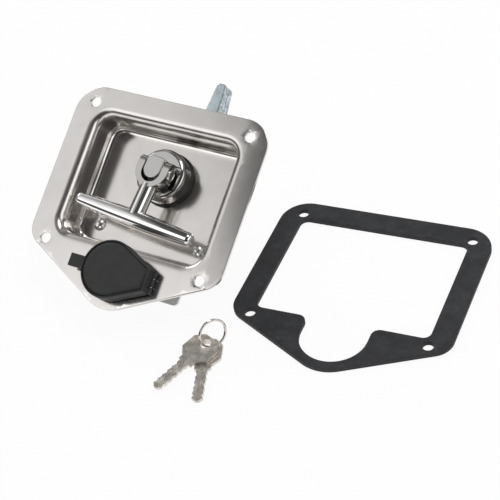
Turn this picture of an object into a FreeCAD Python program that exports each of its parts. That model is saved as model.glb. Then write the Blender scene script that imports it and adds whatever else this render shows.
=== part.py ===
"""Flush T-handle latch with key lock, and the gasket, keys and ring that lie beside it.

Row frame, millimetres: the origin is the centre of the four mounting holes on the flange's
panel face, +X to the right and +Z up from the table that the set lies on. The latch leans
back on its lock and its shaft end, so its own axes are turned about X by the lean angle.
Everything on the latch is drawn in the latch's own axes: z = 0 is the panel face, +Z points
out of the dish towards the hand and +Y towards the pawl's tip.
"""
import FreeCAD, Part
import math
import os
import Sketcher

SIZES = {
    # flange and dish
    "sheet": 1.5,
    "hole_span_x": 105.0,
    "hole_span_y": 86.5,
    "mount_hole": 3.2,
    "margin_side": 12.5,
    "margin_top": 10.05,
    "margin_shoulder": 0.35,
    "apex_drop": 24.6,
    "top_corner": 17.0,
    "side_corner": 13.0,
    "apex_corner": 23.5,
    "edge_round": 0.6,
    "pan_inset_side": 5.2,
    "pan_inset_top": 6.25,
    "pan_inset_bottom": 7.35,
    "pan_depth": 20.0,
    "pan_corner": 9.0,
    "rim_round": 4.4,
    "floor_round": 3.6,
    # floor rivets and the stop bracket that they hold
    "rivet_x": 34.0,
    "rivet_y": 23.8,
    "rivet_head": 4.2,
    "rivet_rise": 2.8,
    "rivet_shank": 2.0,
    "rivet_tail": 3.4,
    "tail_thick": 1.2,
    "bracket_half": 40.0,
    "bracket_width": 12.0,
    "bracket_thick": 1.5,
    "ear_drop": 5.0,
    "ear_thick": 1.7,
    # spindle; in the photograph it stands turned a little within its play
    "spindle_y": 12.0,
    "rest_turn": -5.0,
    "hub_radius": 15.8,
    "hub_face": 7.4,
    "hub_shoulder": 2.8,
    "seal_thick": 2.0,
    "seal_radius": 16.6,
    "seal_bore": 9.6,
    "lug_width": 11.4,
    "lug_front": 2.7,
    "lug_top": 7.7,
    "lug_round": 2.4,
    "pocket_outer": 12.2,
    "pocket_reach": 7.3,
    "pocket_floor": 9.5,
    "journal_radius": 7.0,
    "bush_barrel": 9.0,
    "bush_flange": 13.0,
    "bush_thick": 1.5,
    "thrust_thick": 0.5,
    "thrust_radius": 11.0,
    "square": 9.5,
    "thread_radius": 4.0,
    "shaft_end": 69.0,
    "end_chamfer": 0.8,
    "fit_gap": 0.05,
    "square_gap": 0.1,
    # lock plate on the spindle
    "plate_thick": 2.0,
    "plate_hub": 12.0,
    "tail_left": 16.0,
    "tail_right": 7.5,
    "tail_reach": 38.0,
    "stop_gap": 0.3,
    "arm_reach": 38.0,
    "arm_width": 8.5,
    # pawl and what clamps it
    "tube_radius": 8.6,
    "tube_bore": 6.9,
    "pawl_face": 38.5,
    "pawl_thick": 15.0,
    "pawl_hub": 10.0,
    "pawl_heel": 10.0,
    "pawl_neck": 34.0,
    "pawl_half": 4.4,
    "pawl_turn": -1.0,
    "pawl_reach": 70.0,
    "nose_run": 18.0,
    "nose_half": 2.9,
    "nose_thin": 4.0,
    "nose_round": 1.8,
    "pawl_edge": 0.7,
    "washer_radius": 7.2,
    "washer_thick": 1.8,
    "washer_split": 1.2,
    "nut_flats": 13.0,
    "nut_height": 6.5,
    # handle
    "pin_depth": 2.0,
    "pin_radius": 2.5,
    "pin_head": 3.6,
    "head_thick": 0.9,
    "ear_gap": 0.5,
    "fork_half": 10.6,
    "fork_drop": 0.5,
    "slot_drop": 2.0,
    "ear_reach": 6.7,
    "ear_round": 4.3,
    "lug_edge": 0.5,
    "stem_radius": 5.0,
    "bar_drop": 30.7,
    "bar_length": 82.0,
    "bar_radius": 5.4,
    "bar_tip": 3.8,
    "tip_round": 3.0,
    # key lock
    "lock_y": 52.2,
    "lock_radius": 9.4,
    "lock_head": 11.2,
    "lock_head_thick": 4.0,
    "lock_depth": 22.0,
    "lock_nut_flats": 22.0,
    "lock_nut_height": 4.5,
    "plug_radius": 6.2,
    "plug_recess": 0.4,
    "keyway_width": 1.8,
    "keyway_height": 7.4,
    "keyway_depth": 12.0,
    "cam_square": 6.0,
    "cam_hub": 8.0,
    "cam_half": 5.5,
    "cam_reach": 31.0,
    "screw_head": 4.0,
    "screw_head_thick": 2.0,
    "screw_shank": 2.0,
    "screw_length": 6.0,
    # weather cap over the lock
    "base_thick": 1.2,
    "base_margin": 0.4,
    "cap_radius": 17.2,
    "cap_end": 26.0,
    "cap_end_half": 6.75,
    "cap_top": 11.5,
    "cap_wall": 1.8,
    "cap_edge": 1.2,
    "lid_gap": 0.3,
    "tab_end": 27.5,
    "tab_width": 7.5,
    "tab_thick": 2.5,
    "tab_lift": 3.0,
    "knuckle_radius": 1.6,
    "knuckle_half": 2.2,
    "knuckle_clear": 0.4,
    "cap_pin": 0.9,
    # gasket, on the table
    "gasket_thick": 3.0,
    "gasket_x": 121.0,
    "gasket_y": 24.0,
    "gasket_turn": 6.5,
    "window_gap_side": 2.7,
    "window_gap": 0.6,
    "opening_corner": 4.5,
    "notch_radius": 19.5,
    "notch_shift": 3.5,
    "lobe_round": 5.0,
    # keys and their split ring, on the table
    "key_x": 64.0,
    "key_y": -58.0,
    "key_turn_low": 21.7,
    "key_turn_high": -16.6,
    "key_lift": 1.9,
    "key_thick": 1.9,
    "key_gap": 0.2,
    "bow_half": 9.6,
    "bow_top": 5.2,
    "bow_length": 18.5,
    "bow_chamfer": 4.6,
    "bow_hole": 3.2,
    "neck_half": 4.6,
    "neck_length": 3.0,
    "blade_half": 3.2,
    "blade_reach": 38.6,
    "cut_depth": 0.9,
    "groove_half": 0.7,
    "groove_depth": 0.4,
    "ring_radius": 8.2,
    "ring_wire": 0.7,
    "ring_lean": 76.0,
    "ring_heading": 62.0,
}
KEY_CUTS = 5

# The flange and the pan, from the mounting holes and the lock
FLANGE_HALF = "(Sizes.hole_span_x / 2 + Sizes.margin_side)"
FLANGE_TOP = "(Sizes.hole_span_y / 2 + Sizes.margin_top)"
FLANGE_SIDE = "(Sizes.hole_span_y / 2 + Sizes.margin_shoulder)"
FLANGE_APEX = "(Sizes.lock_y + Sizes.apex_drop)"
PAN_HALF = "(Sizes.hole_span_x / 2 - Sizes.pan_inset_side)"
PAN_TOP = "(Sizes.hole_span_y / 2 - Sizes.pan_inset_top)"
PAN_BOTTOM = "(Sizes.hole_span_y / 2 - Sizes.pan_inset_bottom)"
WINDOW_HALF = f"({PAN_HALF} + Sizes.sheet + Sizes.window_gap_side)"
WINDOW_TOP = f"({PAN_TOP} + Sizes.sheet + Sizes.window_gap)"
WINDOW_BOTTOM = f"({PAN_BOTTOM} + Sizes.sheet + Sizes.window_gap)"
NOTCH_Y = "(Sizes.lock_y - Sizes.notch_shift)"

# Levels on the spindle's axis, from the dish floor back to the shaft's end
FLOOR = "(-Sizes.pan_depth)"
FLOOR_REAR = "(-Sizes.pan_depth - Sizes.sheet)"
BUSH_REAR = f"({FLOOR_REAR} - Sizes.bush_thick)"
PLATE_FRONT = f"({BUSH_REAR} - Sizes.thrust_thick)"
PLATE_REAR = f"({PLATE_FRONT} - Sizes.plate_thick)"
PAWL_REAR = "(-Sizes.pawl_face - Sizes.pawl_thick)"
WASHER_REAR = f"({PAWL_REAR} - Sizes.washer_thick)"
SCREW_REAR = f"({PLATE_REAR} - Sizes.screw_head_thick)"
BASE_TOP = "(Sizes.sheet + Sizes.base_thick)"
LID_FOOT = f"({BASE_TOP} + Sizes.lid_gap)"
PIN_Z = "(-Sizes.pin_depth)"
HINGE_Z = "(Sizes.sheet + Sizes.knuckle_radius + Sizes.knuckle_clear)"

# The latch rests on the cam screw's head and on the shaft's end
LEAN_RISE = f"({SCREW_REAR} + Sizes.shaft_end)"
LEAN_RUN = "(Sizes.spindle_y - Sizes.thread_radius + Sizes.end_chamfer + Sizes.lock_y + Sizes.screw_head)"
LEAN = f"atan2({LEAN_RISE}; {LEAN_RUN})"
TABLE = f"(-(Sizes.lock_y + Sizes.screw_head) * sin({LEAN}) + {SCREW_REAR} * cos({LEAN}))"

doc = FreeCAD.newDocument("t_handle_latch")
sheet = doc.addObject("Spreadsheet::Sheet", "Sizes")
for row, (alias, number) in enumerate(SIZES.items(), start=1):
    sheet.set(f"A{row}", alias)
    sheet.set(f"B{row}", str(number))
    sheet.setAlias(f"B{row}", alias)
doc.recompute()


def value(text):
    """The number that an expression over the spreadsheet gives now."""
    found = sheet.evalExpression(text)
    return float(getattr(found, "Value", found))


def new_body(label):
    """An empty body whose label is its node's name."""
    body = doc.addObject("PartDesign::Body", label)
    body.Label = label
    return body


def sketch_on(body, plane, at):
    """A sketch on one of the body's own planes, shifted by three expressions in the plane's axes."""
    sketch = body.newObject("Sketcher::SketchObject", "Profile")
    support = next(item for item in body.Origin.OriginFeatures if item.Role == plane)
    sketch.AttachmentSupport = [(support, "")]
    sketch.MapMode = "FlatFace"
    for axis, text in zip("xyz", at):
        sketch.setExpression(f"AttachmentOffset.Base.{axis}", text)
    return sketch


def pin_point(sketch, geometry, end, x, y):
    """Ties one point of a sketch to two expressions."""
    for kind, text in (("DistanceX", x), ("DistanceY", y)):
        index = sketch.addConstraint(Sketcher.Constraint(kind, geometry, end, value(text)))
        sketch.setExpression(f"Constraints[{index}]", text)


def add_polygon(sketch, corners):
    """A closed outline through corners given as pairs of expressions."""
    points = [FreeCAD.Vector(value(x), value(y), 0) for x, y in corners]
    first = sketch.GeometryCount
    count = len(points)
    for index in range(count):
        sketch.addGeometry(Part.LineSegment(points[index], points[(index + 1) % count]), False)
    for index in range(count):
        following = first + (index + 1) % count
        sketch.addConstraint(Sketcher.Constraint("Coincident", first + index, 2, following, 1))
    for index, (x, y) in enumerate(corners):
        pin_point(sketch, first + index, 1, x, y)


def add_circle(sketch, x, y, radius):
    """A circle whose centre and radius are expressions."""
    centre = FreeCAD.Vector(value(x), value(y), 0)
    circle = Part.Circle(centre, FreeCAD.Vector(0, 0, 1), value(radius))
    index = sketch.addGeometry(circle, False)
    pin_point(sketch, index, 3, x, y)
    size = sketch.addConstraint(Sketcher.Constraint("Radius", index, value(radius)))
    sketch.setExpression(f"Constraints[{size}]", radius)


def add_rounded_box(sketch, low_x, low_y, high_x, high_y, radius):
    """A rectangle of expressions with its corners rounded."""
    size = value(radius)
    first = sketch.GeometryCount
    centres = [
        (f"({high_x} - {radius})", f"({high_y} - {radius})"),
        (f"({low_x} + {radius})", f"({high_y} - {radius})"),
        (f"({low_x} + {radius})", f"({low_y} + {radius})"),
        (f"({high_x} - {radius})", f"({low_y} + {radius})"),
    ]
    arcs = []
    for quarter, (x, y) in enumerate(centres):
        circle = Part.Circle(FreeCAD.Vector(value(x), value(y), 0), FreeCAD.Vector(0, 0, 1), size)
        start = quarter * math.pi / 2
        arcs.append(Part.ArcOfCircle(circle, start, start + math.pi / 2))
        sketch.addGeometry(arcs[-1], False)
    for quarter in range(4):
        following = arcs[(quarter + 1) % 4]
        sketch.addGeometry(Part.LineSegment(arcs[quarter].EndPoint, following.StartPoint), False)
    for quarter, (x, y) in enumerate(centres):
        line = first + 4 + quarter
        sketch.addConstraint(Sketcher.Constraint("Tangent", first + quarter, 2, line, 1))
        sketch.addConstraint(Sketcher.Constraint("Tangent", line, 2, first + (quarter + 1) % 4, 1))
        pin_point(sketch, first + quarter, 3, x, y)
        index = sketch.addConstraint(Sketcher.Constraint("Radius", first + quarter, size))
        sketch.setExpression(f"Constraints[{index}]", radius)


def rectangle(low_x, low_y, high_x, high_y):
    """The four corners of a rectangle of expressions."""
    return [(low_x, low_y), (high_x, low_y), (high_x, high_y), (low_x, high_y)]


def extrude(body, kind, length, plane="XY_Plane", at=("0", "0", "0"), polygons=(), circles=(),
            boxes=(), back=False, midplane=False):
    """A Pad or Pocket of polygons, circles and rounded boxes drawn on a plane of the body."""
    sketch = sketch_on(body, plane, at)
    for box in boxes:
        add_rounded_box(sketch, *box)
    for corners in polygons:
        add_polygon(sketch, corners)
    for circle in circles:
        add_circle(sketch, *circle)
    doc.recompute()
    before = body.Shape.Volume if body.Tip else 0.0
    feature = body.newObject(f"PartDesign::{kind}", kind)
    feature.Profile = sketch
    feature.setExpression("Length", length)
    feature.Reversed = back
    feature.Midplane = midplane
    doc.recompute()
    change = body.Shape.Volume - before
    if kind == "Pocket" and change >= 0 or kind == "Pad" and change <= 0:
        raise RuntimeError(f"{body.Label}: a {kind} changed nothing")
    return feature


def revolve(body, corners, axis, plane="XZ_Plane", at=("0", "0", "0"), kind="Revolution"):
    """A solid of revolution of a polygon about the sketch's own horizontal or vertical axis."""
    sketch = sketch_on(body, plane, at)
    add_polygon(sketch, corners)
    doc.recompute()
    feature = body.newObject(f"PartDesign::{kind}", kind)
    feature.Profile = sketch
    feature.ReferenceAxis = (sketch, [axis])
    feature.Angle = 360.0
    doc.recompute()
    return feature


def finish_edges(body, kind, size, choose):
    """A Fillet or Chamfer on the edges of the body that a test picks."""
    base = body.Tip
    names = [f"Edge{i}" for i, edge in enumerate(base.Shape.Edges, start=1) if choose(edge)]
    if not names:
        raise RuntimeError(f"{body.Label}: no edge to {kind}")
    feature = body.newObject(f"PartDesign::{kind}", kind)
    feature.Base = (base, names)
    feature.setExpression("Radius" if kind == "Fillet" else "Size", size)
    doc.recompute()
    return feature


def middle(edge):
    """A point half way along an edge."""
    return edge.valueAt(0.5 * (edge.FirstParameter + edge.LastParameter))


def is_upright(edge):
    """Whether an edge runs along Z."""
    box = edge.BoundBox
    return box.ZLength > 1.0 and box.XLength < 0.01 and box.YLength < 0.01


def is_level(edge, height):
    """Whether an edge lies at one height."""
    box = edge.BoundBox
    return abs(box.ZMin - height) < 0.01 and abs(box.ZMax - height) < 0.01


def flange_outline():
    """The five corners of the flange, which the gasket shares."""
    return [
        (f"-{FLANGE_HALF}", FLANGE_TOP),
        (f"-{FLANGE_HALF}", f"-{FLANGE_SIDE}"),
        ("0", f"-{FLANGE_APEX}"),
        (FLANGE_HALF, f"-{FLANGE_SIDE}"),
        (FLANGE_HALF, FLANGE_TOP),
    ]


def round_outline(body):
    """Rounds the corners of the flange's outline on a fresh pad."""
    side = -value(FLANGE_SIDE)
    finish_edges(body, "Fillet", "Sizes.top_corner", lambda e: is_upright(e) and middle(e).y > 0)
    finish_edges(body, "Fillet", "Sizes.side_corner",
                 lambda e: is_upright(e) and abs(middle(e).y - side) < 0.1)
    finish_edges(body, "Fillet", "Sizes.apex_corner",
                 lambda e: is_upright(e) and abs(middle(e).x) < 0.1)


def mounting_holes():
    """The four mounting holes as circles."""
    return [
        (f"{x} * Sizes.hole_span_x / 2", f"{y} * Sizes.hole_span_y / 2", "Sizes.mount_hole")
        for x in (-1, 1)
        for y in (-1, 1)
    ]


def rivet_spots():
    """The places of the two floor rivets."""
    return [(f"{side} * Sizes.rivet_x", "-Sizes.rivet_y") for side in (-1, 1)]


def dish_plate():
    """The drawn dish: a flange with one deep pan, of one sheet thickness all over."""
    body = new_body("dish_plate")
    extrude(body, "Pad", "Sizes.sheet", polygons=[flange_outline()])
    round_outline(body)
    wall = "Sizes.sheet"
    inner = (f"-{PAN_HALF}", f"-{PAN_BOTTOM}", PAN_HALF, PAN_TOP, "Sizes.pan_corner")
    outer = (f"(-{PAN_HALF} - {wall})", f"(-{PAN_BOTTOM} - {wall})", f"({PAN_HALF} + {wall})",
             f"({PAN_TOP} + {wall})", f"(Sizes.pan_corner + {wall})")
    extrude(body, "Pad", f"-{FLOOR_REAR}", boxes=[outer], back=True)
    finish_edges(body, "Fillet", f"Sizes.floor_round + {wall}",
                 lambda e: is_level(e, value(FLOOR_REAR)))
    finish_edges(body, "Fillet", f"Sizes.rim_round - {wall}",
                 lambda e: is_level(e, 0) and inside_pan(e))
    extrude(body, "Pocket", f"{wall} - {FLOOR}", at=("0", "0", wall), boxes=[inner])
    finish_edges(body, "Fillet", "Sizes.floor_round",
                 lambda e: is_level(e, value(FLOOR)) and inside_pan(e))
    finish_edges(body, "Fillet", "Sizes.rim_round",
                 lambda e: is_level(e, value(wall)) and inside_pan(e))
    finish_edges(body, "Fillet", "Sizes.edge_round",
                 lambda e: is_level(e, value(wall)) and not inside_pan(e))
    extrude(body, "Pocket", f"2 * {wall}", at=("0", "0", f"1.5 * {wall}"),
            circles=mounting_holes() + [("0", "-Sizes.lock_y", "Sizes.lock_radius + Sizes.fit_gap")])
    rivets = [(x, y, "Sizes.rivet_shank + Sizes.fit_gap") for x, y in rivet_spots()]
    bush = ("0", "Sizes.spindle_y", "Sizes.bush_barrel + Sizes.fit_gap")
    extrude(body, "Pocket", f"2 * {wall}", at=("0", "0", f"{FLOOR} + {wall} / 2"),
            circles=rivets + [bush])
    return body


def inside_pan(edge):
    """Whether an edge belongs to the pan and not to the flange's outline."""
    box = edge.BoundBox
    rim = value("Sizes.sheet + Sizes.rim_round")
    return (max(abs(box.XMin), abs(box.XMax)) < value(PAN_HALF) + rim
            and box.YMax < value(PAN_TOP) + rim and box.YMin > -value(PAN_BOTTOM) - rim)


def floor_rivet(label, x, y):
    """A round-head rivet through the dish floor and the bracket behind it."""
    body = new_body(label)
    radius = "((Sizes.rivet_head^2 + Sizes.rivet_rise^2) / (2 * Sizes.rivet_rise))"
    place = (x, y, FLOOR)
    sketch = sketch_on(body, "XZ_Plane", ("0", "0", "0"))
    head = value("Sizes.rivet_head")
    rise = value("Sizes.rivet_rise")
    ball = value(radius)
    start = math.degrees(math.asin(head / ball))
    arc = Part.Circle(FreeCAD.Vector(0, rise - ball, 0), FreeCAD.Vector(0, 0, 1), ball)
    sketch.addGeometry(Part.ArcOfCircle(arc, math.radians(90 - start), math.radians(90)), False)
    sketch.addGeometry(Part.LineSegment(FreeCAD.Vector(0, rise, 0), FreeCAD.Vector(0, 0, 0)), False)
    sketch.addGeometry(Part.LineSegment(FreeCAD.Vector(0, 0, 0), FreeCAD.Vector(head, 0, 0)), False)
    for one, one_end, other, other_end in ((0, 2, 1, 1), (1, 2, 2, 1), (2, 2, 0, 1)):
        sketch.addConstraint(Sketcher.Constraint("Coincident", one, one_end, other, other_end))
    pin_point(sketch, 1, 1, "0", "Sizes.rivet_rise")
    pin_point(sketch, 2, 1, "0", "0")
    pin_point(sketch, 2, 2, "Sizes.rivet_head", "0")
    size = sketch.addConstraint(Sketcher.Constraint("Radius", 0, ball))
    sketch.setExpression(f"Constraints[{size}]", radius)
    dome = body.newObject("PartDesign::Revolution", "Revolution")
    dome.Profile = sketch
    dome.ReferenceAxis = (sketch, ["V_Axis"])
    dome.Angle = 360.0
    doc.recompute()
    grip = "(Sizes.sheet + Sizes.bracket_thick)"
    extrude(body, "Pad", grip, circles=[("0", "0", "Sizes.rivet_shank")], back=True)
    extrude(body, "Pad", "Sizes.tail_thick", at=("0", "0", f"-{grip}"),
            circles=[("0", "0", "Sizes.rivet_tail")], back=True)
    return body, place


def stop_bracket():
    """The strip behind the floor, with the bent ear that stops the lock plate."""
    body = new_body("stop_bracket")
    low = "(-Sizes.rivet_y - Sizes.bracket_width / 2)"
    high = "(-Sizes.rivet_y + Sizes.bracket_width / 2)"
    extrude(body, "Pad", "Sizes.bracket_thick", at=("0", "0", FLOOR_REAR), back=True,
            polygons=[rectangle("-Sizes.bracket_half", low, "Sizes.bracket_half", high)])
    finish_edges(body, "Fillet", "Sizes.bracket_width / 3",
                 lambda e: is_upright(e) and abs(middle(e).x) > value("Sizes.bracket_half") - 0.1)
    ear_right = "(-Sizes.tail_left - Sizes.stop_gap)"
    extrude(body, "Pad", "Sizes.ear_drop", at=("0", "0", f"{FLOOR_REAR} - Sizes.bracket_thick"),
            back=True, polygons=[rectangle(f"{ear_right} - Sizes.ear_thick", low, ear_right, high)])
    extrude(body, "Pocket", "2 * Sizes.bracket_thick",
            at=("0", "0", f"{FLOOR_REAR} + Sizes.bracket_thick / 2"),
            circles=[(x, y, "Sizes.rivet_shank + Sizes.fit_gap") for x, y in rivet_spots()])
    return body


def ring_body(label, outer, bore, front, thick, y="Sizes.spindle_y"):
    """A flat ring whose front face is at one level, on an axis along Z."""
    body = new_body(label)
    extrude(body, "Pad", thick, at=("0", y, front), circles=[("0", "0", outer), ("0", "0", bore)],
            back=True)
    return body


def hub_seal():
    """The rubber ring between the spindle's hub and the dish floor."""
    body = ring_body("hub_seal", "Sizes.seal_radius", "Sizes.seal_bore",
                     f"{FLOOR} + Sizes.seal_thick", "Sizes.seal_thick")
    finish_edges(body, "Fillet", "Sizes.seal_thick / 3",
                 lambda e: e.BoundBox.XLength > 2 * value("Sizes.seal_radius") - 0.1)
    return body


def bearing_bush():
    """The flanged bush that the spindle turns in, set in the floor from behind."""
    body = ring_body("bearing_bush", "Sizes.bush_barrel", "Sizes.journal_radius",
                     FLOOR, "Sizes.sheet + Sizes.bush_thick")
    extrude(body, "Pad", "Sizes.bush_thick", at=("0", "Sizes.spindle_y", FLOOR_REAR), back=True,
            circles=[("0", "0", "Sizes.bush_flange"), ("0", "0", "Sizes.journal_radius")])
    return body


def spindle():
    """Hub, lug, journal, square and thread turned and milled from one bar."""
    body = new_body("spindle")
    hub_rear = f"({FLOOR} + Sizes.seal_thick)"
    journal = "(Sizes.journal_radius - Sizes.fit_gap)"
    square_rear = f"({PAWL_REAR} + 0.3)"
    corner = "(Sizes.square / 2)"
    profile = [
        ("0", "-Sizes.hub_face"),
        ("Sizes.hub_radius", "-Sizes.hub_face"),
        ("Sizes.hub_radius", hub_rear),
        (journal, hub_rear),
        (journal, PLATE_FRONT),
        ("Sizes.thread_radius", PLATE_FRONT),
        ("Sizes.thread_radius", "-Sizes.shaft_end"),
        ("0", "-Sizes.shaft_end"),
    ]
    revolve(body, profile, "V_Axis", at=("0", "0", "-Sizes.spindle_y"))
    finish_edges(body, "Fillet", "Sizes.hub_shoulder", lambda e: is_level(e, value("-Sizes.hub_face")))
    finish_edges(body, "Chamfer", "Sizes.end_chamfer",
                 lambda e: is_level(e, value("-Sizes.shaft_end")))
    extrude(body, "Pad", f"{PLATE_FRONT} - {square_rear}", at=("0", "Sizes.spindle_y", PLATE_FRONT),
            polygons=[rectangle(f"-{corner}", f"-{corner}", corner, corner)], back=True)
    side = "(Sizes.lug_width / 2)"
    rise = "Sizes.lug_front + Sizes.pocket_floor"
    root = ("0", "Sizes.spindle_y", "-Sizes.pocket_floor")
    extrude(body, "Pocket", "Sizes.pocket_floor - Sizes.hub_face + Sizes.fit_gap",
            at=("0", "Sizes.spindle_y", "-Sizes.hub_face + Sizes.fit_gap"),
            polygons=[
                rectangle(f"-Sizes.pocket_outer", "-Sizes.pocket_reach", f"-{side}", "Sizes.pocket_reach"),
                rectangle(side, "-Sizes.pocket_reach", "Sizes.pocket_outer", "Sizes.pocket_reach"),
            ])
    extrude(body, "Pad", rise, at=root, circles=[("0", "0", side)])
    extrude(body, "Pad", rise, at=root,
            polygons=[rectangle(f"-{side}", "0", side, "Sizes.lug_top")])
    top = value("Sizes.spindle_y + Sizes.lug_top")
    finish_edges(body, "Fillet", "Sizes.lug_round",
                 lambda e: is_upright(e) and abs(middle(e).y - top) < 0.01 and middle(e).z > -5)
    finish_edges(body, "Fillet", "Sizes.lug_edge", lambda e: is_level(e, value("Sizes.lug_front")))
    extrude(body, "Pocket", "Sizes.lug_width + 2", plane="YZ_Plane", midplane=True,
            at=("Sizes.spindle_y", PIN_Z, "0"),
            circles=[("0", "0", "Sizes.pin_radius + Sizes.fit_gap")])
    return body


def square_hole(turn):
    """The corners of a hole that slides over the spindle's square, turned by an angle."""
    reach = "((Sizes.square / 2 + Sizes.square_gap) * sqrt(2))"
    return [(f"{reach} * cos({corner} + {turn})", f"{reach} * sin({corner} + {turn})")
            for corner in (45, 135, 225, 315)]


def lock_plate():
    """The plate that turns with the spindle: a tail to be locked and an arm that meets the stop."""
    body = new_body("lock_plate")
    arm_low = "(Sizes.tail_left + Sizes.ear_thick + 2 * Sizes.stop_gap)"
    outline = [
        ("-Sizes.tail_left", "-Sizes.tail_reach"),
        ("-Sizes.tail_right", "-Sizes.tail_reach"),
        ("-Sizes.tail_right", "-Sizes.plate_hub"),
        ("Sizes.plate_hub", "-Sizes.plate_hub"),
        ("Sizes.plate_hub", "Sizes.plate_hub"),
        ("0", f"{arm_low} + Sizes.arm_width"),
        ("-Sizes.arm_reach", f"{arm_low} + Sizes.arm_width"),
        ("-Sizes.arm_reach", arm_low),
        ("-Sizes.tail_left", arm_low),
    ]
    extrude(body, "Pad", "Sizes.plate_thick", at=("0", "Sizes.spindle_y", PLATE_FRONT), back=True,
            polygons=[outline, square_hole("Sizes.rest_turn")])
    finish_edges(body, "Fillet", "Sizes.plate_thick",
                 lambda e: e.BoundBox.ZLength > 1 and (
                     middle(e).x > value("Sizes.plate_hub") - 0.1
                     or abs(middle(e).y - value("Sizes.spindle_y - Sizes.tail_reach")) < 0.1
                     or middle(e).x < 0.1 - value("Sizes.arm_reach")))
    return body


def pawl():
    """The cast pawl: a hub on the square and a long arm with a ramped nose."""
    body = new_body("pawl")
    outline = [
        ("-Sizes.pawl_hub", "-Sizes.pawl_heel"),
        ("Sizes.pawl_hub", "-Sizes.pawl_heel"),
        ("Sizes.pawl_hub", "Sizes.pawl_heel"),
        ("Sizes.pawl_half", "Sizes.pawl_neck"),
        ("Sizes.pawl_half", "Sizes.pawl_reach - Sizes.nose_run"),
        ("Sizes.nose_half", "Sizes.pawl_reach"),
        ("-Sizes.nose_half", "Sizes.pawl_reach"),
        ("-Sizes.pawl_half", "Sizes.pawl_reach - Sizes.nose_run"),
        ("-Sizes.pawl_half", "Sizes.pawl_neck"),
        ("-Sizes.pawl_hub", "Sizes.pawl_heel"),
    ]
    extrude(body, "Pad", "Sizes.pawl_thick", at=("0", "Sizes.spindle_y", "-Sizes.pawl_face"),
            back=True, polygons=[outline])
    heel = value("Sizes.spindle_y - Sizes.pawl_heel")
    tip = value("Sizes.spindle_y + Sizes.pawl_reach")
    finish_edges(body, "Fillet", "Sizes.pawl_hub / 2",
                 lambda e: is_upright(e) and abs(middle(e).y - heel) < 0.01)
    finish_edges(body, "Fillet", "Sizes.nose_round",
                 lambda e: is_upright(e) and abs(middle(e).y - tip) < 0.01)
    ramp_start = "(Sizes.spindle_y + Sizes.pawl_neck)"
    ramp_end = "(Sizes.spindle_y + Sizes.pawl_reach + 1)"
    wedge = [
        (ramp_start, f"{PAWL_REAR} - 1"),
        (ramp_end, f"{PAWL_REAR} - 1"),
        (ramp_end, f"{PAWL_REAR} + Sizes.nose_thin"),
        (ramp_start, PAWL_REAR),
    ]
    extrude(body, "Pocket", "4 * Sizes.pawl_hub", plane="YZ_Plane", midplane=True, polygons=[wedge])
    front = value("-Sizes.pawl_face")
    finish_edges(body, "Fillet", "Sizes.pawl_edge", lambda e: is_level(e, front))
    extrude(body, "Pocket", "2 * Sizes.pawl_thick", midplane=True,
            at=("0", "Sizes.spindle_y", PAWL_REAR),
            polygons=[square_hole("(Sizes.rest_turn - Sizes.pawl_turn)")])
    return body


def lock_washer():
    """The split spring washer under the nut."""
    body = ring_body("lock_washer", "Sizes.washer_radius", "Sizes.thread_radius + 0.3",
                     PAWL_REAR, "Sizes.washer_thick")
    split = rectangle("0", "-Sizes.washer_split / 2", "2 * Sizes.washer_radius", "Sizes.washer_split / 2")
    extrude(body, "Pocket", "2 * Sizes.washer_thick", polygons=[split],
            at=("0", "Sizes.spindle_y", f"{PAWL_REAR} + Sizes.washer_thick / 2"))
    return body


def hexagon(flats):
    """The corners of a hexagon with two flats across Y."""
    radius = f"({flats} / (2 * cos(30)))"
    return [(f"{radius} * cos({60 * step})", f"{radius} * sin({60 * step})") for step in range(6)]


def hex_body(label, flats, bore, front, height, y):
    """A hexagon nut on an axis along Z, with its front face at one level."""
    body = new_body(label)
    extrude(body, "Pad", height, at=("0", y, front), polygons=[hexagon(flats)],
            circles=[("0", "0", bore)], back=True)
    return body


def t_handle():
    """Fork, stem and cigar-shaped bar, forged as one."""
    body = new_body("t_handle")
    half = "Sizes.fork_half"
    thick = "2 * (Sizes.lug_front + Sizes.pin_depth)"
    axis = ("0", "Sizes.spindle_y", PIN_Z)
    extrude(body, "Pad", thick, at=axis, midplane=True,
            circles=[("0", "-Sizes.fork_drop", half)])
    extrude(body, "Pad", thick, at=axis, midplane=True,
            polygons=[rectangle(f"-{half}", "-Sizes.fork_drop", half, "Sizes.ear_reach")])
    slot = "(Sizes.lug_width / 2 + Sizes.ear_gap)"
    extrude(body, "Pocket", f"2 * {thick}", at=axis, midplane=True,
            circles=[("0", "-Sizes.slot_drop", slot)])
    extrude(body, "Pocket", f"2 * {thick}", at=axis, midplane=True,
            polygons=[rectangle(f"-{slot}", "-Sizes.slot_drop", slot, "2 * Sizes.ear_reach")])
    extrude(body, "Pocket", f"2 * {thick}", at=axis, midplane=True,
            polygons=[rectangle(f"-2 * {half}", "Sizes.ear_reach", f"2 * {half}", f"2 * {half}")])
    top = value("Sizes.spindle_y + Sizes.ear_reach")
    finish_edges(body, "Fillet", "Sizes.ear_round",
                 lambda e: e.BoundBox.XLength > 1 and abs(middle(e).y - top) < 0.01
                 and e.BoundBox.YLength < 0.01)
    root = f"(Sizes.slot_drop + {slot} + 2 * Sizes.ear_gap)"
    extrude(body, "Pad", f"Sizes.bar_drop - {root}", plane="XZ_Plane",
            at=("0", PIN_Z, f"{root} - Sizes.spindle_y"),
            circles=[("0", "0", "Sizes.stem_radius")])
    add_bar(body)
    extrude(body, "Pocket", "4 * Sizes.fork_half", plane="YZ_Plane", midplane=True,
            at=("Sizes.spindle_y", PIN_Z, "0"),
            circles=[("0", "0", "Sizes.pin_radius + Sizes.fit_gap")])
    return body


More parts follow.
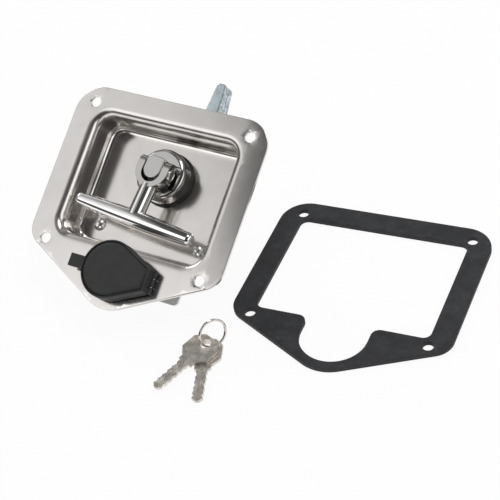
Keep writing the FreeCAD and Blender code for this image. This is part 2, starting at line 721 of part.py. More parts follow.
def add_bar(body):
    """The bar of the T: a barrel with a bowed outline and rounded tips, turned about X."""
    sketch = sketch_on(body, "XY_Plane", ("0", "Sizes.spindle_y - Sizes.bar_drop", PIN_Z))
    half = value("Sizes.bar_length / 2")
    tip = value("Sizes.bar_tip")
    belly = value("Sizes.bar_radius")
    bow = "((Sizes.bar_length / 2)^2 + (Sizes.bar_radius - Sizes.bar_tip)^2)" \
          " / (2 * (Sizes.bar_radius - Sizes.bar_tip))"
    corners = [FreeCAD.Vector(-half, tip, 0), FreeCAD.Vector(-half, 0, 0),
               FreeCAD.Vector(half, 0, 0), FreeCAD.Vector(half, tip, 0)]
    for start, end in zip(corners, corners[1:]):
        sketch.addGeometry(Part.LineSegment(start, end), False)
    arc = Part.Arc(corners[3], FreeCAD.Vector(0, belly, 0), corners[0])
    sketch.addGeometry(arc, False)
    for one, one_end, other, other_end in ((0, 2, 1, 1), (1, 2, 2, 1), (2, 2, 3, 1), (3, 2, 0, 1)):
        sketch.addConstraint(Sketcher.Constraint("Coincident", one, one_end, other, other_end))
    pin_point(sketch, 0, 1, "-Sizes.bar_length / 2", "Sizes.bar_tip")
    pin_point(sketch, 1, 1, "-Sizes.bar_length / 2", "0")
    pin_point(sketch, 1, 2, "Sizes.bar_length / 2", "0")
    pin_point(sketch, 2, 2, "Sizes.bar_length / 2", "Sizes.bar_tip")
    size = sketch.addConstraint(Sketcher.Constraint("Radius", 3, value(bow)))
    sketch.setExpression(f"Constraints[{size}]", bow)
    bar = body.newObject("PartDesign::Revolution", "Revolution")
    bar.Profile = sketch
    bar.ReferenceAxis = (sketch, ["H_Axis"])
    bar.Angle = 360.0
    doc.recompute()
    finish_edges(body, "Fillet", "Sizes.tip_round",
                 lambda e: e.BoundBox.XLength < 0.01 and abs(abs(e.BoundBox.XMin) - half) < 0.01
                 and e.BoundBox.YLength > 1)


def hinge_pin():
    """The pin through both ears and the lug, with a domed head at each end."""
    body = new_body("hinge_pin")
    reach = "(Sizes.fork_half + Sizes.fit_gap)"
    half = [
        ("0", "0"),
        (f"{reach} + Sizes.head_thick", "0"),
        (f"{reach} + Sizes.head_thick", "Sizes.pin_radius"),
        (f"{reach} + Sizes.head_thick / 2", "Sizes.pin_head"),
        (reach, "Sizes.pin_head"),
        (reach, "Sizes.pin_radius"),
        ("0", "Sizes.pin_radius"),
    ]
    place = ("0", "Sizes.spindle_y", PIN_Z)
    revolve(body, half, "H_Axis", plane="XY_Plane", at=place)
    mirrored = [(f"-({x})", y) for x, y in half]
    revolve(body, mirrored, "H_Axis", plane="XY_Plane", at=place)
    return body


def lock_body():
    """The lock's fixed barrel, with a round head on the cap's base."""
    body = new_body("lock_body")
    at = ("0", "-Sizes.lock_y", f"{BASE_TOP} + Sizes.lock_head_thick")
    bore = ("0", "0", "Sizes.plug_radius")
    extrude(body, "Pad", "Sizes.lock_head_thick", at=at, back=True,
            circles=[("0", "0", "Sizes.lock_head"), bore])
    top = value(f"{BASE_TOP} + Sizes.lock_head_thick")
    finish_edges(body, "Fillet", "Sizes.edge_round",
                 lambda e: is_level(e, top) and e.BoundBox.XLength > 2 * value("Sizes.lock_radius"))
    extrude(body, "Pad", f"{BASE_TOP} + Sizes.lock_depth", at=("0", "-Sizes.lock_y", BASE_TOP),
            back=True, circles=[("0", "0", "Sizes.lock_radius"), bore])
    return body


def lock_plug():
    """The turning plug with its keyway, and the square that carries the cam."""
    body = new_body("lock_plug")
    radius = "(Sizes.plug_radius - Sizes.fit_gap)"
    front = f"({BASE_TOP} + Sizes.lock_head_thick - Sizes.plug_recess)"
    extrude(body, "Pad", f"{front} - {PLATE_FRONT}", at=("0", "-Sizes.lock_y", front), back=True,
            circles=[("0", "0", radius)])
    half = "(Sizes.cam_square / 2)"
    extrude(body, "Pad", "Sizes.plate_thick", at=("0", "-Sizes.lock_y", PLATE_FRONT), back=True,
            polygons=[rectangle(f"-{half}", f"-{half}", half, half)])
    keyway = rectangle("-Sizes.keyway_width / 2", "-Sizes.keyway_height / 2",
                       "Sizes.keyway_width / 2", "Sizes.keyway_height / 2")
    extrude(body, "Pocket", "Sizes.keyway_depth", at=("0", "-Sizes.lock_y", front), polygons=[keyway])
    extrude(body, "Pocket", "Sizes.screw_length", at=("0", "-Sizes.lock_y", PLATE_REAR), back=True,
            circles=[("0", "0", "Sizes.screw_shank + Sizes.fit_gap")])
    return body


def lock_cam():
    """The tongue on the plug's end; turned up, it stands in the way of the lock plate's tail."""
    body = new_body("lock_cam")
    at = ("0", "-Sizes.lock_y", PLATE_FRONT)
    extrude(body, "Pad", "Sizes.plate_thick", at=at, circles=[("0", "0", "Sizes.cam_hub")], back=True)
    extrude(body, "Pad", "Sizes.plate_thick", at=at, back=True,
            polygons=[rectangle("0", "-Sizes.cam_half", "Sizes.cam_reach", "Sizes.cam_half")])
    finish_edges(body, "Fillet", "Sizes.cam_half / 2",
                 lambda e: e.BoundBox.ZLength > 1
                 and abs(middle(e).x - value("Sizes.cam_reach")) < 0.01)
    half = "(Sizes.cam_square / 2 + Sizes.square_gap)"
    extrude(body, "Pocket", "2 * Sizes.plate_thick", midplane=True, at=at,
            polygons=[rectangle(f"-{half}", f"-{half}", half, half)])
    return body


def cam_screw():
    """The screw that holds the cam on the plug."""
    body = new_body("cam_screw")
    at = ("0", "-Sizes.lock_y", PLATE_REAR)
    extrude(body, "Pad", "Sizes.screw_head_thick", at=at, back=True,
            circles=[("0", "0", "Sizes.screw_head")])
    extrude(body, "Pad", "Sizes.screw_length - 0.5", at=at,
            circles=[("0", "0", "Sizes.screw_shank")])
    return body


def cap_outline(radius, end, end_half):
    """The circle and the wedge of the cap, with the wedge's sides tangent to the circle."""
    turn = f"(atan2({end_half}; {end}) + acos({radius} / sqrt(({end})^2 + ({end_half})^2)))"
    touch_x = f"({radius} * cos({turn}))"
    touch_y = f"({radius} * sin({turn}))"
    wedge = [(end, f"-({end_half})"), (end, end_half), (touch_x, touch_y), (touch_x, f"-{touch_y}")]
    return ("0", "0", radius), wedge


def cap_base():
    """The thin base under the lock's head, with the middle knuckle of the cap's hinge."""
    body = new_body("cap_base")
    at = ("0", "-Sizes.lock_y", "Sizes.sheet")
    margin = "Sizes.base_margin"
    circle, wedge = cap_outline(f"(Sizes.cap_radius - {margin})",
                                "(Sizes.cap_end - 2 * Sizes.knuckle_radius)",
                                f"(Sizes.cap_end_half - {margin})")
    extrude(body, "Pad", "Sizes.base_thick", at=at, circles=[circle])
    extrude(body, "Pad", "Sizes.base_thick", at=at, polygons=[wedge])
    knuckle = "Sizes.knuckle_half"
    extrude(body, "Pad", "Sizes.base_thick", at=at,
            polygons=[rectangle("Sizes.cap_radius", f"-{knuckle}", "Sizes.cap_end", knuckle)])
    hinge = ("Sizes.cap_end", HINGE_Z, "Sizes.lock_y")
    extrude(body, "Pad", f"2 * {knuckle}", plane="XZ_Plane", at=hinge, midplane=True,
            circles=[("0", "0", "Sizes.knuckle_radius")])
    extrude(body, "Pocket", f"4 * {knuckle}", plane="XZ_Plane", at=hinge, midplane=True,
            circles=[("0", "0", "Sizes.cap_pin + Sizes.fit_gap")])
    extrude(body, "Pocket", "4 * Sizes.base_thick", at=at, midplane=True,
            circles=[("0", "0", "Sizes.lock_radius + Sizes.fit_gap")])
    return body


def cap_lid():
    """The flip-up cap: a deep cup over the lock with a pull tab and two hinge knuckles."""
    body = new_body("cap_lid")
    at = ("0", "-Sizes.lock_y", LID_FOOT)
    height = f"(Sizes.cap_top - {LID_FOOT})"
    circle, wedge = cap_outline("Sizes.cap_radius", "Sizes.cap_end", "Sizes.cap_end_half")
    extrude(body, "Pad", height, at=at, circles=[circle])
    extrude(body, "Pad", height, at=at, polygons=[wedge])
    finish_edges(body, "Fillet", "Sizes.cap_edge", lambda e: is_level(e, value("Sizes.cap_top")))
    tab_half = "Sizes.tab_width / 2"
    extrude(body, "Pad", "Sizes.tab_thick", at=("0", "-Sizes.lock_y", f"{LID_FOOT} + Sizes.tab_lift"),
            polygons=[rectangle("-Sizes.tab_end", f"-{tab_half}", "-Sizes.cap_radius + 1", tab_half)])
    wall = "Sizes.cap_wall"
    inner_circle, inner_wedge = cap_outline(f"(Sizes.cap_radius - {wall})",
                                            f"(Sizes.cap_end - {wall})",
                                            f"(Sizes.cap_end_half - {wall})")
    extrude(body, "Pocket", f"{height} - {wall}", at=at, circles=[inner_circle], back=True)
    extrude(body, "Pocket", f"{height} - {wall}", at=at, polygons=[inner_wedge], back=True)
    clear = "Sizes.knuckle_clear"
    notch = "(Sizes.knuckle_half + Sizes.knuckle_clear)"
    outer = f"(Sizes.cap_end_half - {clear})"
    hinge = ("Sizes.cap_end", HINGE_Z, "Sizes.lock_y")
    for side in (-1, 1):
        centre = f"(Sizes.lock_y + {side} * ({outer} + {notch}) / 2)"
        extrude(body, "Pad", f"{outer} - {notch}", plane="XZ_Plane", midplane=True,
                at=("Sizes.cap_end", HINGE_Z, centre),
                circles=[("0", "0", "Sizes.knuckle_radius")])
    reach = f"(Sizes.knuckle_radius + {clear})"
    extrude(body, "Pocket", f"2 * {notch}", plane="XZ_Plane", at=hinge, midplane=True,
            polygons=[rectangle(f"-2 * {reach}", f"-2 * {reach}", f"2 * {reach}", reach)])
    extrude(body, "Pocket", "4 * Sizes.cap_end_half", plane="XZ_Plane", at=hinge, midplane=True,
            circles=[("0", "0", "Sizes.cap_pin + Sizes.fit_gap")])
    return body


def cap_pin():
    """The pin of the cap's hinge."""
    body = new_body("cap_pin")
    extrude(body, "Pad", "2 * (Sizes.cap_end_half - Sizes.knuckle_clear)", plane="XZ_Plane",
            at=("Sizes.cap_end", HINGE_Z, "Sizes.lock_y"), midplane=True,
            circles=[("0", "0", "Sizes.cap_pin")])
    return body


def gasket():
    """The flat seal that goes behind the flange, cut out round the pan and the lock."""
    body = new_body("gasket")
    extrude(body, "Pad", "Sizes.gasket_thick", polygons=[flange_outline()])
    round_outline(body)
    window = rectangle(f"-{WINDOW_HALF}", f"-{WINDOW_BOTTOM}", WINDOW_HALF, WINDOW_TOP)
    through = {"at": ("0", "0", "Sizes.gasket_thick / 2"), "midplane": True}
    depth = "4 * Sizes.gasket_thick"
    extrude(body, "Pocket", depth, polygons=[window], **through)
    reach = value(WINDOW_HALF)
    bottom = value(WINDOW_BOTTOM)
    finish_edges(body, "Fillet", "Sizes.opening_corner",
                 lambda e: is_upright(e) and abs(abs(middle(e).x) - reach) < 0.01
                 and middle(e).y > -bottom - 0.1)
    extrude(body, "Pocket", depth, circles=[("0", f"-{NOTCH_Y}", "Sizes.notch_radius")], **through)
    extrude(body, "Pocket", depth, **through,
            polygons=[rectangle("-Sizes.notch_radius", f"-{NOTCH_Y}", "Sizes.notch_radius", "0")])
    corner = value("Sizes.notch_radius")
    finish_edges(body, "Fillet", "Sizes.lobe_round",
                 lambda e: is_upright(e) and abs(abs(middle(e).x) - corner) < 0.01
                 and abs(middle(e).y + bottom) < 0.01)
    extrude(body, "Pocket", depth, circles=mounting_holes(), **through)
    return body


def key(label):
    """A flat key with an eight-sided bow; its ring hole is on the body's origin."""
    body = new_body(label)
    bow, top, low = "Sizes.bow_half", "Sizes.bow_top", "(Sizes.bow_top - Sizes.bow_length)"
    cut = "Sizes.bow_chamfer"
    blade, neck = "Sizes.blade_half", "Sizes.neck_half"
    shoulder = f"({low} - Sizes.neck_length)"
    side = [
        (f"{bow} - {cut}", top), (bow, f"{top} - {cut}"), (bow, f"{low} + {cut}"),
        (f"{bow} - {cut}", low), (neck, low), (neck, shoulder), (blade, shoulder),
    ]
    pitch = f"((Sizes.blade_reach + {shoulder}) / {KEY_CUTS + 1})"
    for step in range(1, KEY_CUTS + 1):
        place = f"({shoulder} - {step} * {pitch})"
        deep = f"{blade} - Sizes.cut_depth * {0.6 + 0.4 * (step % 2)}"
        side += [(blade, f"{place} + {pitch} / 3"), (deep, place)]
    side += [(blade, f"-Sizes.blade_reach + {pitch} / 2"), (f"{blade} / 3", "-Sizes.blade_reach")]
    mirrored = [(f"-({x})", y) for x, y in reversed(side)]
    extrude(body, "Pad", "Sizes.key_thick", polygons=[side + mirrored],
            circles=[("0", "0", "Sizes.bow_hole")])
    groove = rectangle("-Sizes.groove_half", "-Sizes.blade_reach - 1", "Sizes.groove_half", shoulder)
    extrude(body, "Pocket", "Sizes.groove_depth", at=("0", "0", "Sizes.key_thick"), polygons=[groove])
    return body


def key_ring():
    """The ring through both keys."""
    body = new_body("key_ring")
    sketch = sketch_on(body, "XZ_Plane", ("0", "0", "0"))
    add_circle(sketch, "Sizes.ring_radius", "0", "Sizes.ring_wire")
    doc.recompute()
    turn = body.newObject("PartDesign::Revolution", "Revolution")
    turn.Profile = sketch
    turn.ReferenceAxis = (sketch, ["V_Axis"])
    turn.Angle = 360.0
    doc.recompute()
    return body


def lean_back(body):
    """Turns a piece of the latch about X by the lean angle."""
    body.Placement = FreeCAD.Placement(FreeCAD.Vector(), FreeCAD.Rotation(FreeCAD.Vector(1, 0, 0), 1))
    body.setExpression("Placement.Rotation.Angle", LEAN)


def lean_back_at(body, place):
    """Turns a piece about X and carries its own place on the latch with it."""
    x, y, z = place
    lean_back(body)
    body.setExpression("Placement.Base.x", x)
    body.setExpression("Placement.Base.y", f"({y}) * cos({LEAN}) - ({z}) * sin({LEAN})")
    body.setExpression("Placement.Base.z", f"({y}) * sin({LEAN}) + ({z}) * cos({LEAN})")


def turn_on_spindle(body, turn):
    """Turns a piece about the spindle's axis and leans it back with the latch."""
    axis = FreeCAD.Vector(0, value("Sizes.spindle_y"), 0)
    spin = FreeCAD.Rotation(FreeCAD.Vector(0, 0, 1), value(turn))
    lean = FreeCAD.Rotation(FreeCAD.Vector(1, 0, 0), value(LEAN))
    body.Placement = FreeCAD.Placement(lean.multVec(axis - spin.multVec(axis)), lean.multiply(spin))


def lay_gasket(body):
    """Lays the gasket on the table, turned about Z."""
    body.Placement = FreeCAD.Placement(FreeCAD.Vector(), FreeCAD.Rotation(FreeCAD.Vector(0, 0, 1), 1))
    body.setExpression("Placement.Rotation.Angle", "Sizes.gasket_turn")
    body.setExpression("Placement.Base.x", "Sizes.gasket_x")
    body.setExpression("Placement.Base.y", "Sizes.gasket_y")
    body.setExpression("Placement.Base.z", TABLE)


def lay_key(body, turn, height):
    """Lays a key over the ring's wire with its tip down on the table; height stacks the keys."""
    mean = value("(Sizes.key_turn_low + Sizes.key_turn_high) / 2")
    spread = math.radians(value("Sizes.key_turn_low") - mean)
    lift = value("Sizes.key_lift")
    reach = value("Sizes.blade_reach") * math.cos(spread) \
        + value("Sizes.blade_half") * math.sin(spread)
    tilt = FreeCAD.Rotation(FreeCAD.Vector(1, 0, 0), math.degrees(math.asin(lift / reach)))
    heading = FreeCAD.Rotation(FreeCAD.Vector(0, 0, 1), mean)
    own = FreeCAD.Rotation(FreeCAD.Vector(0, 0, 1), value(turn) - mean)
    rotation = heading.multiply(tilt).multiply(own)
    hole = FreeCAD.Vector(value("Sizes.key_x"), value("Sizes.key_y"), value(TABLE) + lift)
    body.Placement = FreeCAD.Placement(
        hole + rotation.multVec(FreeCAD.Vector(0, 0, value(height))), rotation)


def build_latch():
    """Every piece that is on the latch itself."""
    on_latch = [
        dish_plate(),
        stop_bracket(),
        hub_seal(),
        bearing_bush(),
        ring_body("thrust_washer", "Sizes.thrust_radius", "Sizes.journal_radius + Sizes.fit_gap",
                  BUSH_REAR, "Sizes.thrust_thick"),
        lock_plate(),
        ring_body("spacer_tube", "Sizes.tube_radius", "Sizes.tube_bore", PLATE_REAR,
                  f"{PLATE_REAR} + Sizes.pawl_face"),
        lock_washer(),
        hex_body("hex_nut", "Sizes.nut_flats", "Sizes.thread_radius + Sizes.fit_gap",
                 WASHER_REAR, "Sizes.nut_height", "Sizes.spindle_y"),
        lock_body(),
        hex_body("lock_nut", "Sizes.lock_nut_flats", "Sizes.lock_radius + Sizes.fit_gap",
                 "0", "Sizes.lock_nut_height", "-Sizes.lock_y"),
        lock_plug(),
        lock_cam(),
        cam_screw(),
        cap_base(),
        cap_lid(),
        cap_pin(),
    ]
    for body in on_latch:
        lean_back(body)
    turned = [(spindle(), "Sizes.rest_turn"), (t_handle(), "Sizes.rest_turn"),
              (hinge_pin(), "Sizes.rest_turn"), (pawl(), "Sizes.pawl_turn")]
    for body, turn in turned:
        turn_on_spindle(body, turn)
        on_latch.append(body)
    for number, (x, y) in enumerate(rivet_spots(), start=1):
        rivet, place = floor_rivet(f"floor_rivet_{number}", x, y)
        lean_back_at(rivet, place)
        on_latch.append(rivet)
    return on_latch


def build_loose():
    """The gasket, the keys and the ring beside the latch."""
    seal = gasket()
    lay_gasket(seal)
    low = key("key_1")
    lay_key(low, "Sizes.key_turn_low", "0")
    high = key("key_2")
    lay_key(high, "Sizes.key_turn_high", "Sizes.key_thick + Sizes.key_gap")
    ring = key_ring()
    place_ring(ring)
    return [seal, low, high, ring]


def place_ring(ring):
    """Stands the ring on the table, nearly upright, so that it passes through both keys."""
    heading, lean = value("Sizes.ring_heading"), value("Sizes.ring_lean")
    radius, wire = value("Sizes.ring_radius"), value("Sizes.ring_wire")
    upright = FreeCAD.Rotation(FreeCAD.Vector(0, 0, 1), heading).multiply(
        FreeCAD.Rotation(FreeCAD.Vector(1, 0, 0), lean))
    steep = math.sin(math.radians(lean))
    height = wire + radius * steep
    levels = ("Sizes.key_lift", "Sizes.key_lift + 2 * Sizes.key_thick + Sizes.key_gap")
    falls = [(height - value(level)) / steep for level in levels]
    back = sum(math.sqrt(radius**2 - fall**2) for fall in falls) / 2
    entry = upright.multVec(FreeCAD.Vector(-back, -sum(falls) / 2, 0))
    place = FreeCAD.Vector(value("Sizes.key_x") - entry.x, value("Sizes.key_y") - entry.y,
                           value(TABLE) + height)
    ring.Placement = FreeCAD.Placement(place, upright)


nodes = build_latch() + build_loose()
doc.recompute()

os.makedirs("parts", exist_ok=True)
for node in nodes:
    if "Invalid" in node.State or node.Shape.isNull() or not node.Shape.isValid():
        raise RuntimeError(f"{node.Label} did not build: {node.State}")
    if len(node.Shape.Solids) != 1:
        raise RuntimeError(f"{node.Label} has {len(node.Shape.Solids)} solids")
for item in doc.Objects:
    if "Invalid" in item.State or "Error" in item.State:
        raise RuntimeError(f"{item.Label} is {item.State}")
for node in nodes:
    node.Shape.exportStep(f"parts/{node.Label}.step")
print(f"{len(nodes)} nodes, lean {value(LEAN):.3f} degrees, table at z = {value(TABLE):.3f}")
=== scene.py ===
"""Flush T-handle latch with its gasket, two keys and their ring, on a white table.

Every size below is in millimetres, in the latch's own axes unless a comment says otherwise:
z = 0 is the panel face of the flange, +Z points out of the dish and +Y towards the pawl's tip.
LatchSpace turns those axes back by the lean of the latch and gives metres in the row frame.
"""
import logging
import math
from dataclasses import dataclass
from enum import Enum
from typing import Any, Iterable, Sequence

import bmesh
import bpy
from mathutils import Matrix, Vector
from mathutils.geometry import delaunay_2d_cdt
from mathutils.kdtree import KDTree


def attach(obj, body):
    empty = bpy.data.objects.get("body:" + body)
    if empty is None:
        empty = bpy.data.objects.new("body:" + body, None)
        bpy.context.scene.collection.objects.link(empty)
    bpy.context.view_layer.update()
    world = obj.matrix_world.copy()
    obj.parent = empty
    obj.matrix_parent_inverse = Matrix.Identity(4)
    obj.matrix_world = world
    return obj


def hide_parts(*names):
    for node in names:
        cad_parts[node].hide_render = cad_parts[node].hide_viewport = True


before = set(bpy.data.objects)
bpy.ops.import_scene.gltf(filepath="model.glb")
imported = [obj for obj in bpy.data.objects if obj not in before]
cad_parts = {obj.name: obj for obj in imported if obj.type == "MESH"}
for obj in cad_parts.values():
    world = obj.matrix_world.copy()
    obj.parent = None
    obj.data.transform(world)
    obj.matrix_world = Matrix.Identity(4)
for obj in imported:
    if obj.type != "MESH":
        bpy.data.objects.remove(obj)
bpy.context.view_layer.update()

LOG = logging.getLogger("t_handle_latch")
MM = 0.001
WELD = 2e-6  # metres within which points are one


class Body(Enum):
    """The rigid bodies of the record."""

    HOUSING = "housing"
    SPINDLE = "spindle"
    HANDLE = "t_handle"
    PLUG = "lock_plug"
    LID = "cap_lid"


# ---- node trees


class Signal:
    """A number that flows through a node tree, for writing its maths as an expression."""

    def __init__(self, kit: "NodeKit", socket: bpy.types.NodeSocket) -> None:
        """Wraps a socket.

        Args:
            kit: the builder of the tree that the socket is in.
            socket: an output that carries one number.
        """
        self.kit = kit
        self.socket = socket

    def _join(self, operation: str, first: Any, second: Any = 0.0) -> "Signal":
        """Adds one Math node.

        Args:
            operation: the node's operation.
            first: its first value.
            second: its second value.

        Returns:
            The node's result.
        """
        return self.kit.maths(operation, first, second)

    def __add__(self, other: Any) -> "Signal":
        """self + other"""
        return self._join("ADD", self, other)

    __radd__ = __add__

    def __sub__(self, other: Any) -> "Signal":
        """self - other"""
        return self._join("SUBTRACT", self, other)

    def __rsub__(self, other: Any) -> "Signal":
        """other - self"""
        return self._join("SUBTRACT", other, self)

    def __mul__(self, other: Any) -> "Signal":
        """self * other"""
        return self._join("MULTIPLY", self, other)

    __rmul__ = __mul__

    def most(self, other: Any) -> "Signal":
        """The larger of self and other."""
        return self._join("MAXIMUM", self, other)

    def step(self, low: float, high: float) -> "Signal":
        """A smooth step from 0 at low to 1 at high.

        Args:
            low: the value at which the step starts.
            high: the value at which it ends.

        Returns:
            The step.
        """
        node = self.kit.add("ShaderNodeMapRange",
                            {"Value": self, "From Min": low, "From Max": high},
                            interpolation_type="SMOOTHSTEP")
        return Signal(self.kit, node.outputs["Result"])


class NodeKit:
    """Makes the nodes of one tree."""

    def __init__(self, tree: bpy.types.NodeTree) -> None:
        """Empties a tree.

        Args:
            tree: the tree to build in.
        """
        self.tree = tree
        tree.nodes.clear()

    def add(self, kind: str, inputs: dict[Any, Any] | None = None,
            **settings: Any) -> bpy.types.Node:
        """Adds a node, sets it up and then fills its sockets.

        Args:
            kind: the node's type.
            inputs: values or links by socket name or number.
            **settings: the node's own settings.

        Returns:
            The node.
        """
        node = self.tree.nodes.new(kind)
        for name, setting in settings.items():
            setattr(node, name, setting)
        for name, content in (inputs or {}).items():
            if isinstance(content, Signal):
                self.tree.links.new(content.socket, node.inputs[name])
            elif isinstance(content, bpy.types.NodeSocket):
                self.tree.links.new(content, node.inputs[name])
            else:
                node.inputs[name].default_value = content
        return node

    def maths(self, operation: str, first: Any, second: Any = 0.0) -> Signal:
        """One Math node.

        Args:
            operation: its operation.
            first: its first value.
            second: its second value.

        Returns:
            Its result.
        """
        node = self.add("ShaderNodeMath", {0: first, 1: second}, operation=operation)
        return Signal(self, node.outputs[0])

    def place(self, turned: tuple[float, float, float] = (0, 0, 0),
              stretch: tuple[float, float, float] = (1, 1, 1)) -> bpy.types.NodeSocket:
        """Object coordinates, turned and stretched.

        Args:
            turned: angles in radians.
            stretch: factors along the turned axes.

        Returns:
            The coordinates.
        """
        here = self.add("ShaderNodeTexCoord").outputs["Object"]
        node = self.add("ShaderNodeMapping",
                        {"Vector": here, "Rotation": turned, "Scale": stretch})
        return node.outputs["Vector"]

    def noise(self, where: bpy.types.NodeSocket, size: float, detail: float,
              rough: float = 0.55) -> Signal:
        """Soft noise.

        Args:
            where: coordinates in metres.
            size: size of a blotch in millimetres.
            detail: number of finer layers.
            rough: strength of the finer layers.

        Returns:
            A number about 0.5.
        """
        node = self.add("ShaderNodeTexNoise", {
            "Vector": where, "Scale": 1.0 / (size * MM), "Detail": detail, "Roughness": rough})
        return Signal(self, node.outputs["Fac"])

    def cells(self, where: bpy.types.NodeSocket, size: float) -> Signal:
        """Distance to the middle of the nearest cell of a pattern.

        Args:
            where: coordinates in metres.
            size: size of a cell in millimetres.

        Returns:
            The distance, in cells.
        """
        node = self.add("ShaderNodeTexVoronoi", {"Vector": where, "Scale": 1.0 / (size * MM)})
        return Signal(self, node.outputs["Distance"])

    def blend(self, share: Any, first: Any, second: Any) -> bpy.types.NodeSocket:
        """A colour between two others.

        Args:
            share: 0 for the first colour and 1 for the second.
            first: a colour.
            second: a colour.

        Returns:
            The blended colour.
        """
        node = self.add("ShaderNodeMix", {0: share, 6: first, 7: second}, data_type="RGBA")
        return node.outputs[2]


def rgb(red: float, green: float, blue: float) -> tuple[float, float, float, float]:
    """A colour for a socket."""
    return (red, green, blue, 1.0)


# ---- finishes


@dataclass(frozen=True)
class Finish:
    """A surface: what all finishes share."""

    name: str
    slot: str
    colour: tuple[float, float, float]
    roughness: float

    def make(self) -> bpy.types.Material:
        """The material, made once.

        Returns:
            The material.
        """
        known = bpy.data.materials.get(self.name)
        if known:
            return known
        material = bpy.data.materials.new(self.name)
        material.use_nodes = True
        kit = NodeKit(material.node_tree)
        shader = kit.add("ShaderNodeBsdfPrincipled", {"Base Color": rgb(*self.colour),
                                                      "Roughness": self.roughness})
        kit.add("ShaderNodeOutputMaterial", {"Surface": shader.outputs["BSDF"]})
        self.dress(kit, shader)
        return material

    def dress(self, kit: NodeKit, shader: bpy.types.Node) -> None:
        """Adds what varies over the surface.

        Args:
            kit: the builder.
            shader: the Principled node.
        """

    def shade(self, amount: float) -> tuple[float, float, float, float]:
        """The finish's colour, made darker or lighter."""
        return rgb(*(min(1.0, part * amount) for part in self.colour))

    @staticmethod
    def link(kit: NodeKit, shader: bpy.types.Node, **sockets: Any) -> None:
        """Joins results to the shader's sockets.

        Args:
            kit: the builder.
            shader: the Principled node.
            **sockets: results by socket name, with _ for a space.
        """
        for name, content in sockets.items():
            source = content.socket if isinstance(content, Signal) else content
            kit.tree.links.new(source, shader.inputs[name.replace("_", " ")])

    @staticmethod
    def relief(kit: NodeKit, shader: bpy.types.Node, height: Signal, depth: float) -> None:
        """Raises the surface by a height.

        Args:
            kit: the builder.
            shader: the Principled node.
            height: the height, 0 to 1.
            depth: what 1 stands for, in millimetres.
        """
        bump = kit.add("ShaderNodeBump",
                       {"Height": height, "Strength": 1.0, "Distance": depth * MM})
        kit.tree.links.new(bump.outputs["Normal"], shader.inputs["Normal"])


@dataclass(frozen=True)
class PolishedMetal(Finish):
    """Sheet or bar polished to a mirror, with the faint waves and hairlines that a buff leaves.

    The pan's rim is duller by rim_haze. It lies within pan_reach of the middle, to the side, up
    and down, and between the heights of rim_span, in the latch's millimetres.
    """

    waves: float = 0.004
    hairline: float = 0.05
    buff_angle: float = 0.3
    rim_haze: float = 0.0
    pan_reach: tuple[float, float, float] = (52.5, 42.1, 41.0)
    pan_soft: float = 0.8
    rim_span: tuple[float, float] = (-9.0, -3.0)

    def dress(self, kit: NodeKit, shader: bpy.types.Node) -> None:
        """Adds waves, hairlines and a breath of uneven polish.

        Args:
            kit: the builder.
            shader: the Principled node.
        """
        shader.inputs["Metallic"].default_value = 1.0
        here = kit.place()
        swept = kit.place(turned=(0.0, 0.0, self.buff_angle), stretch=(0.05, 1.0, 1.0))
        lines = kit.noise(swept, size=0.35, detail=4.0, rough=0.7)
        cloud = kit.noise(here, size=14.0, detail=2.0)
        wave = kit.noise(here, size=9.0, detail=1.0)
        rough = (lines - 0.5) * self.hairline + (cloud - 0.5) * 0.03 + self.roughness
        if self.rim_haze:
            rough = rough + self.rim(kit) * self.rim_haze
        self.link(kit, shader, Roughness=rough,
                  Base_Color=kit.blend(cloud.step(0.3, 0.7), self.shade(0.97), self.shade(1.03)))
        self.relief(kit, shader, wave, self.waves)

    def rim(self, kit: NodeKit) -> Signal:
        """Where the pan's rolled rim is.

        Args:
            kit: the builder.

        Returns:
            1 on the rim, and 0 on the flange and deep in the pan.
        """
        own = kit.add("ShaderNodeSeparateXYZ", {0: kit.place(turned=(-SPACE.lean, 0.0, 0.0))})
        x, y, z = (Signal(kit, own.outputs[axis]) for axis in range(3))
        side, high, low = (reach * MM for reach in self.pan_reach)
        past = (x.most(x * -1.0) - side).most(y - high).most(y * -1.0 - low)
        soft = self.pan_soft * MM
        return z.step(*(level * MM for level in self.rim_span)) * (1.0 - past.step(-soft, soft))


@dataclass(frozen=True)
class PlatedSteel(Finish):
    """Stamped or turned steel with a thin bright plate."""

    mottle: float = 6.4

    def dress(self, kit: NodeKit, shader: bpy.types.Node) -> None:
        """Adds the plate's mottling and a fine grain.

        Args:
            kit: the builder.
            shader: the Principled node.
        """
        shader.inputs["Metallic"].default_value = 1.0
        here = kit.place()
        cloud = kit.noise(here, size=self.mottle, detail=3.0)
        grain = kit.noise(here, size=0.12, detail=2.0)
        self.link(kit, shader,
                  Base_Color=kit.blend(cloud.step(0.35, 0.7), self.shade(0.9), self.shade(1.05)),
                  Roughness=(cloud - 0.5) * 0.14 + (grain - 0.5) * 0.08 + self.roughness)
        self.relief(kit, shader, grain + cloud * 2.0, 0.006)


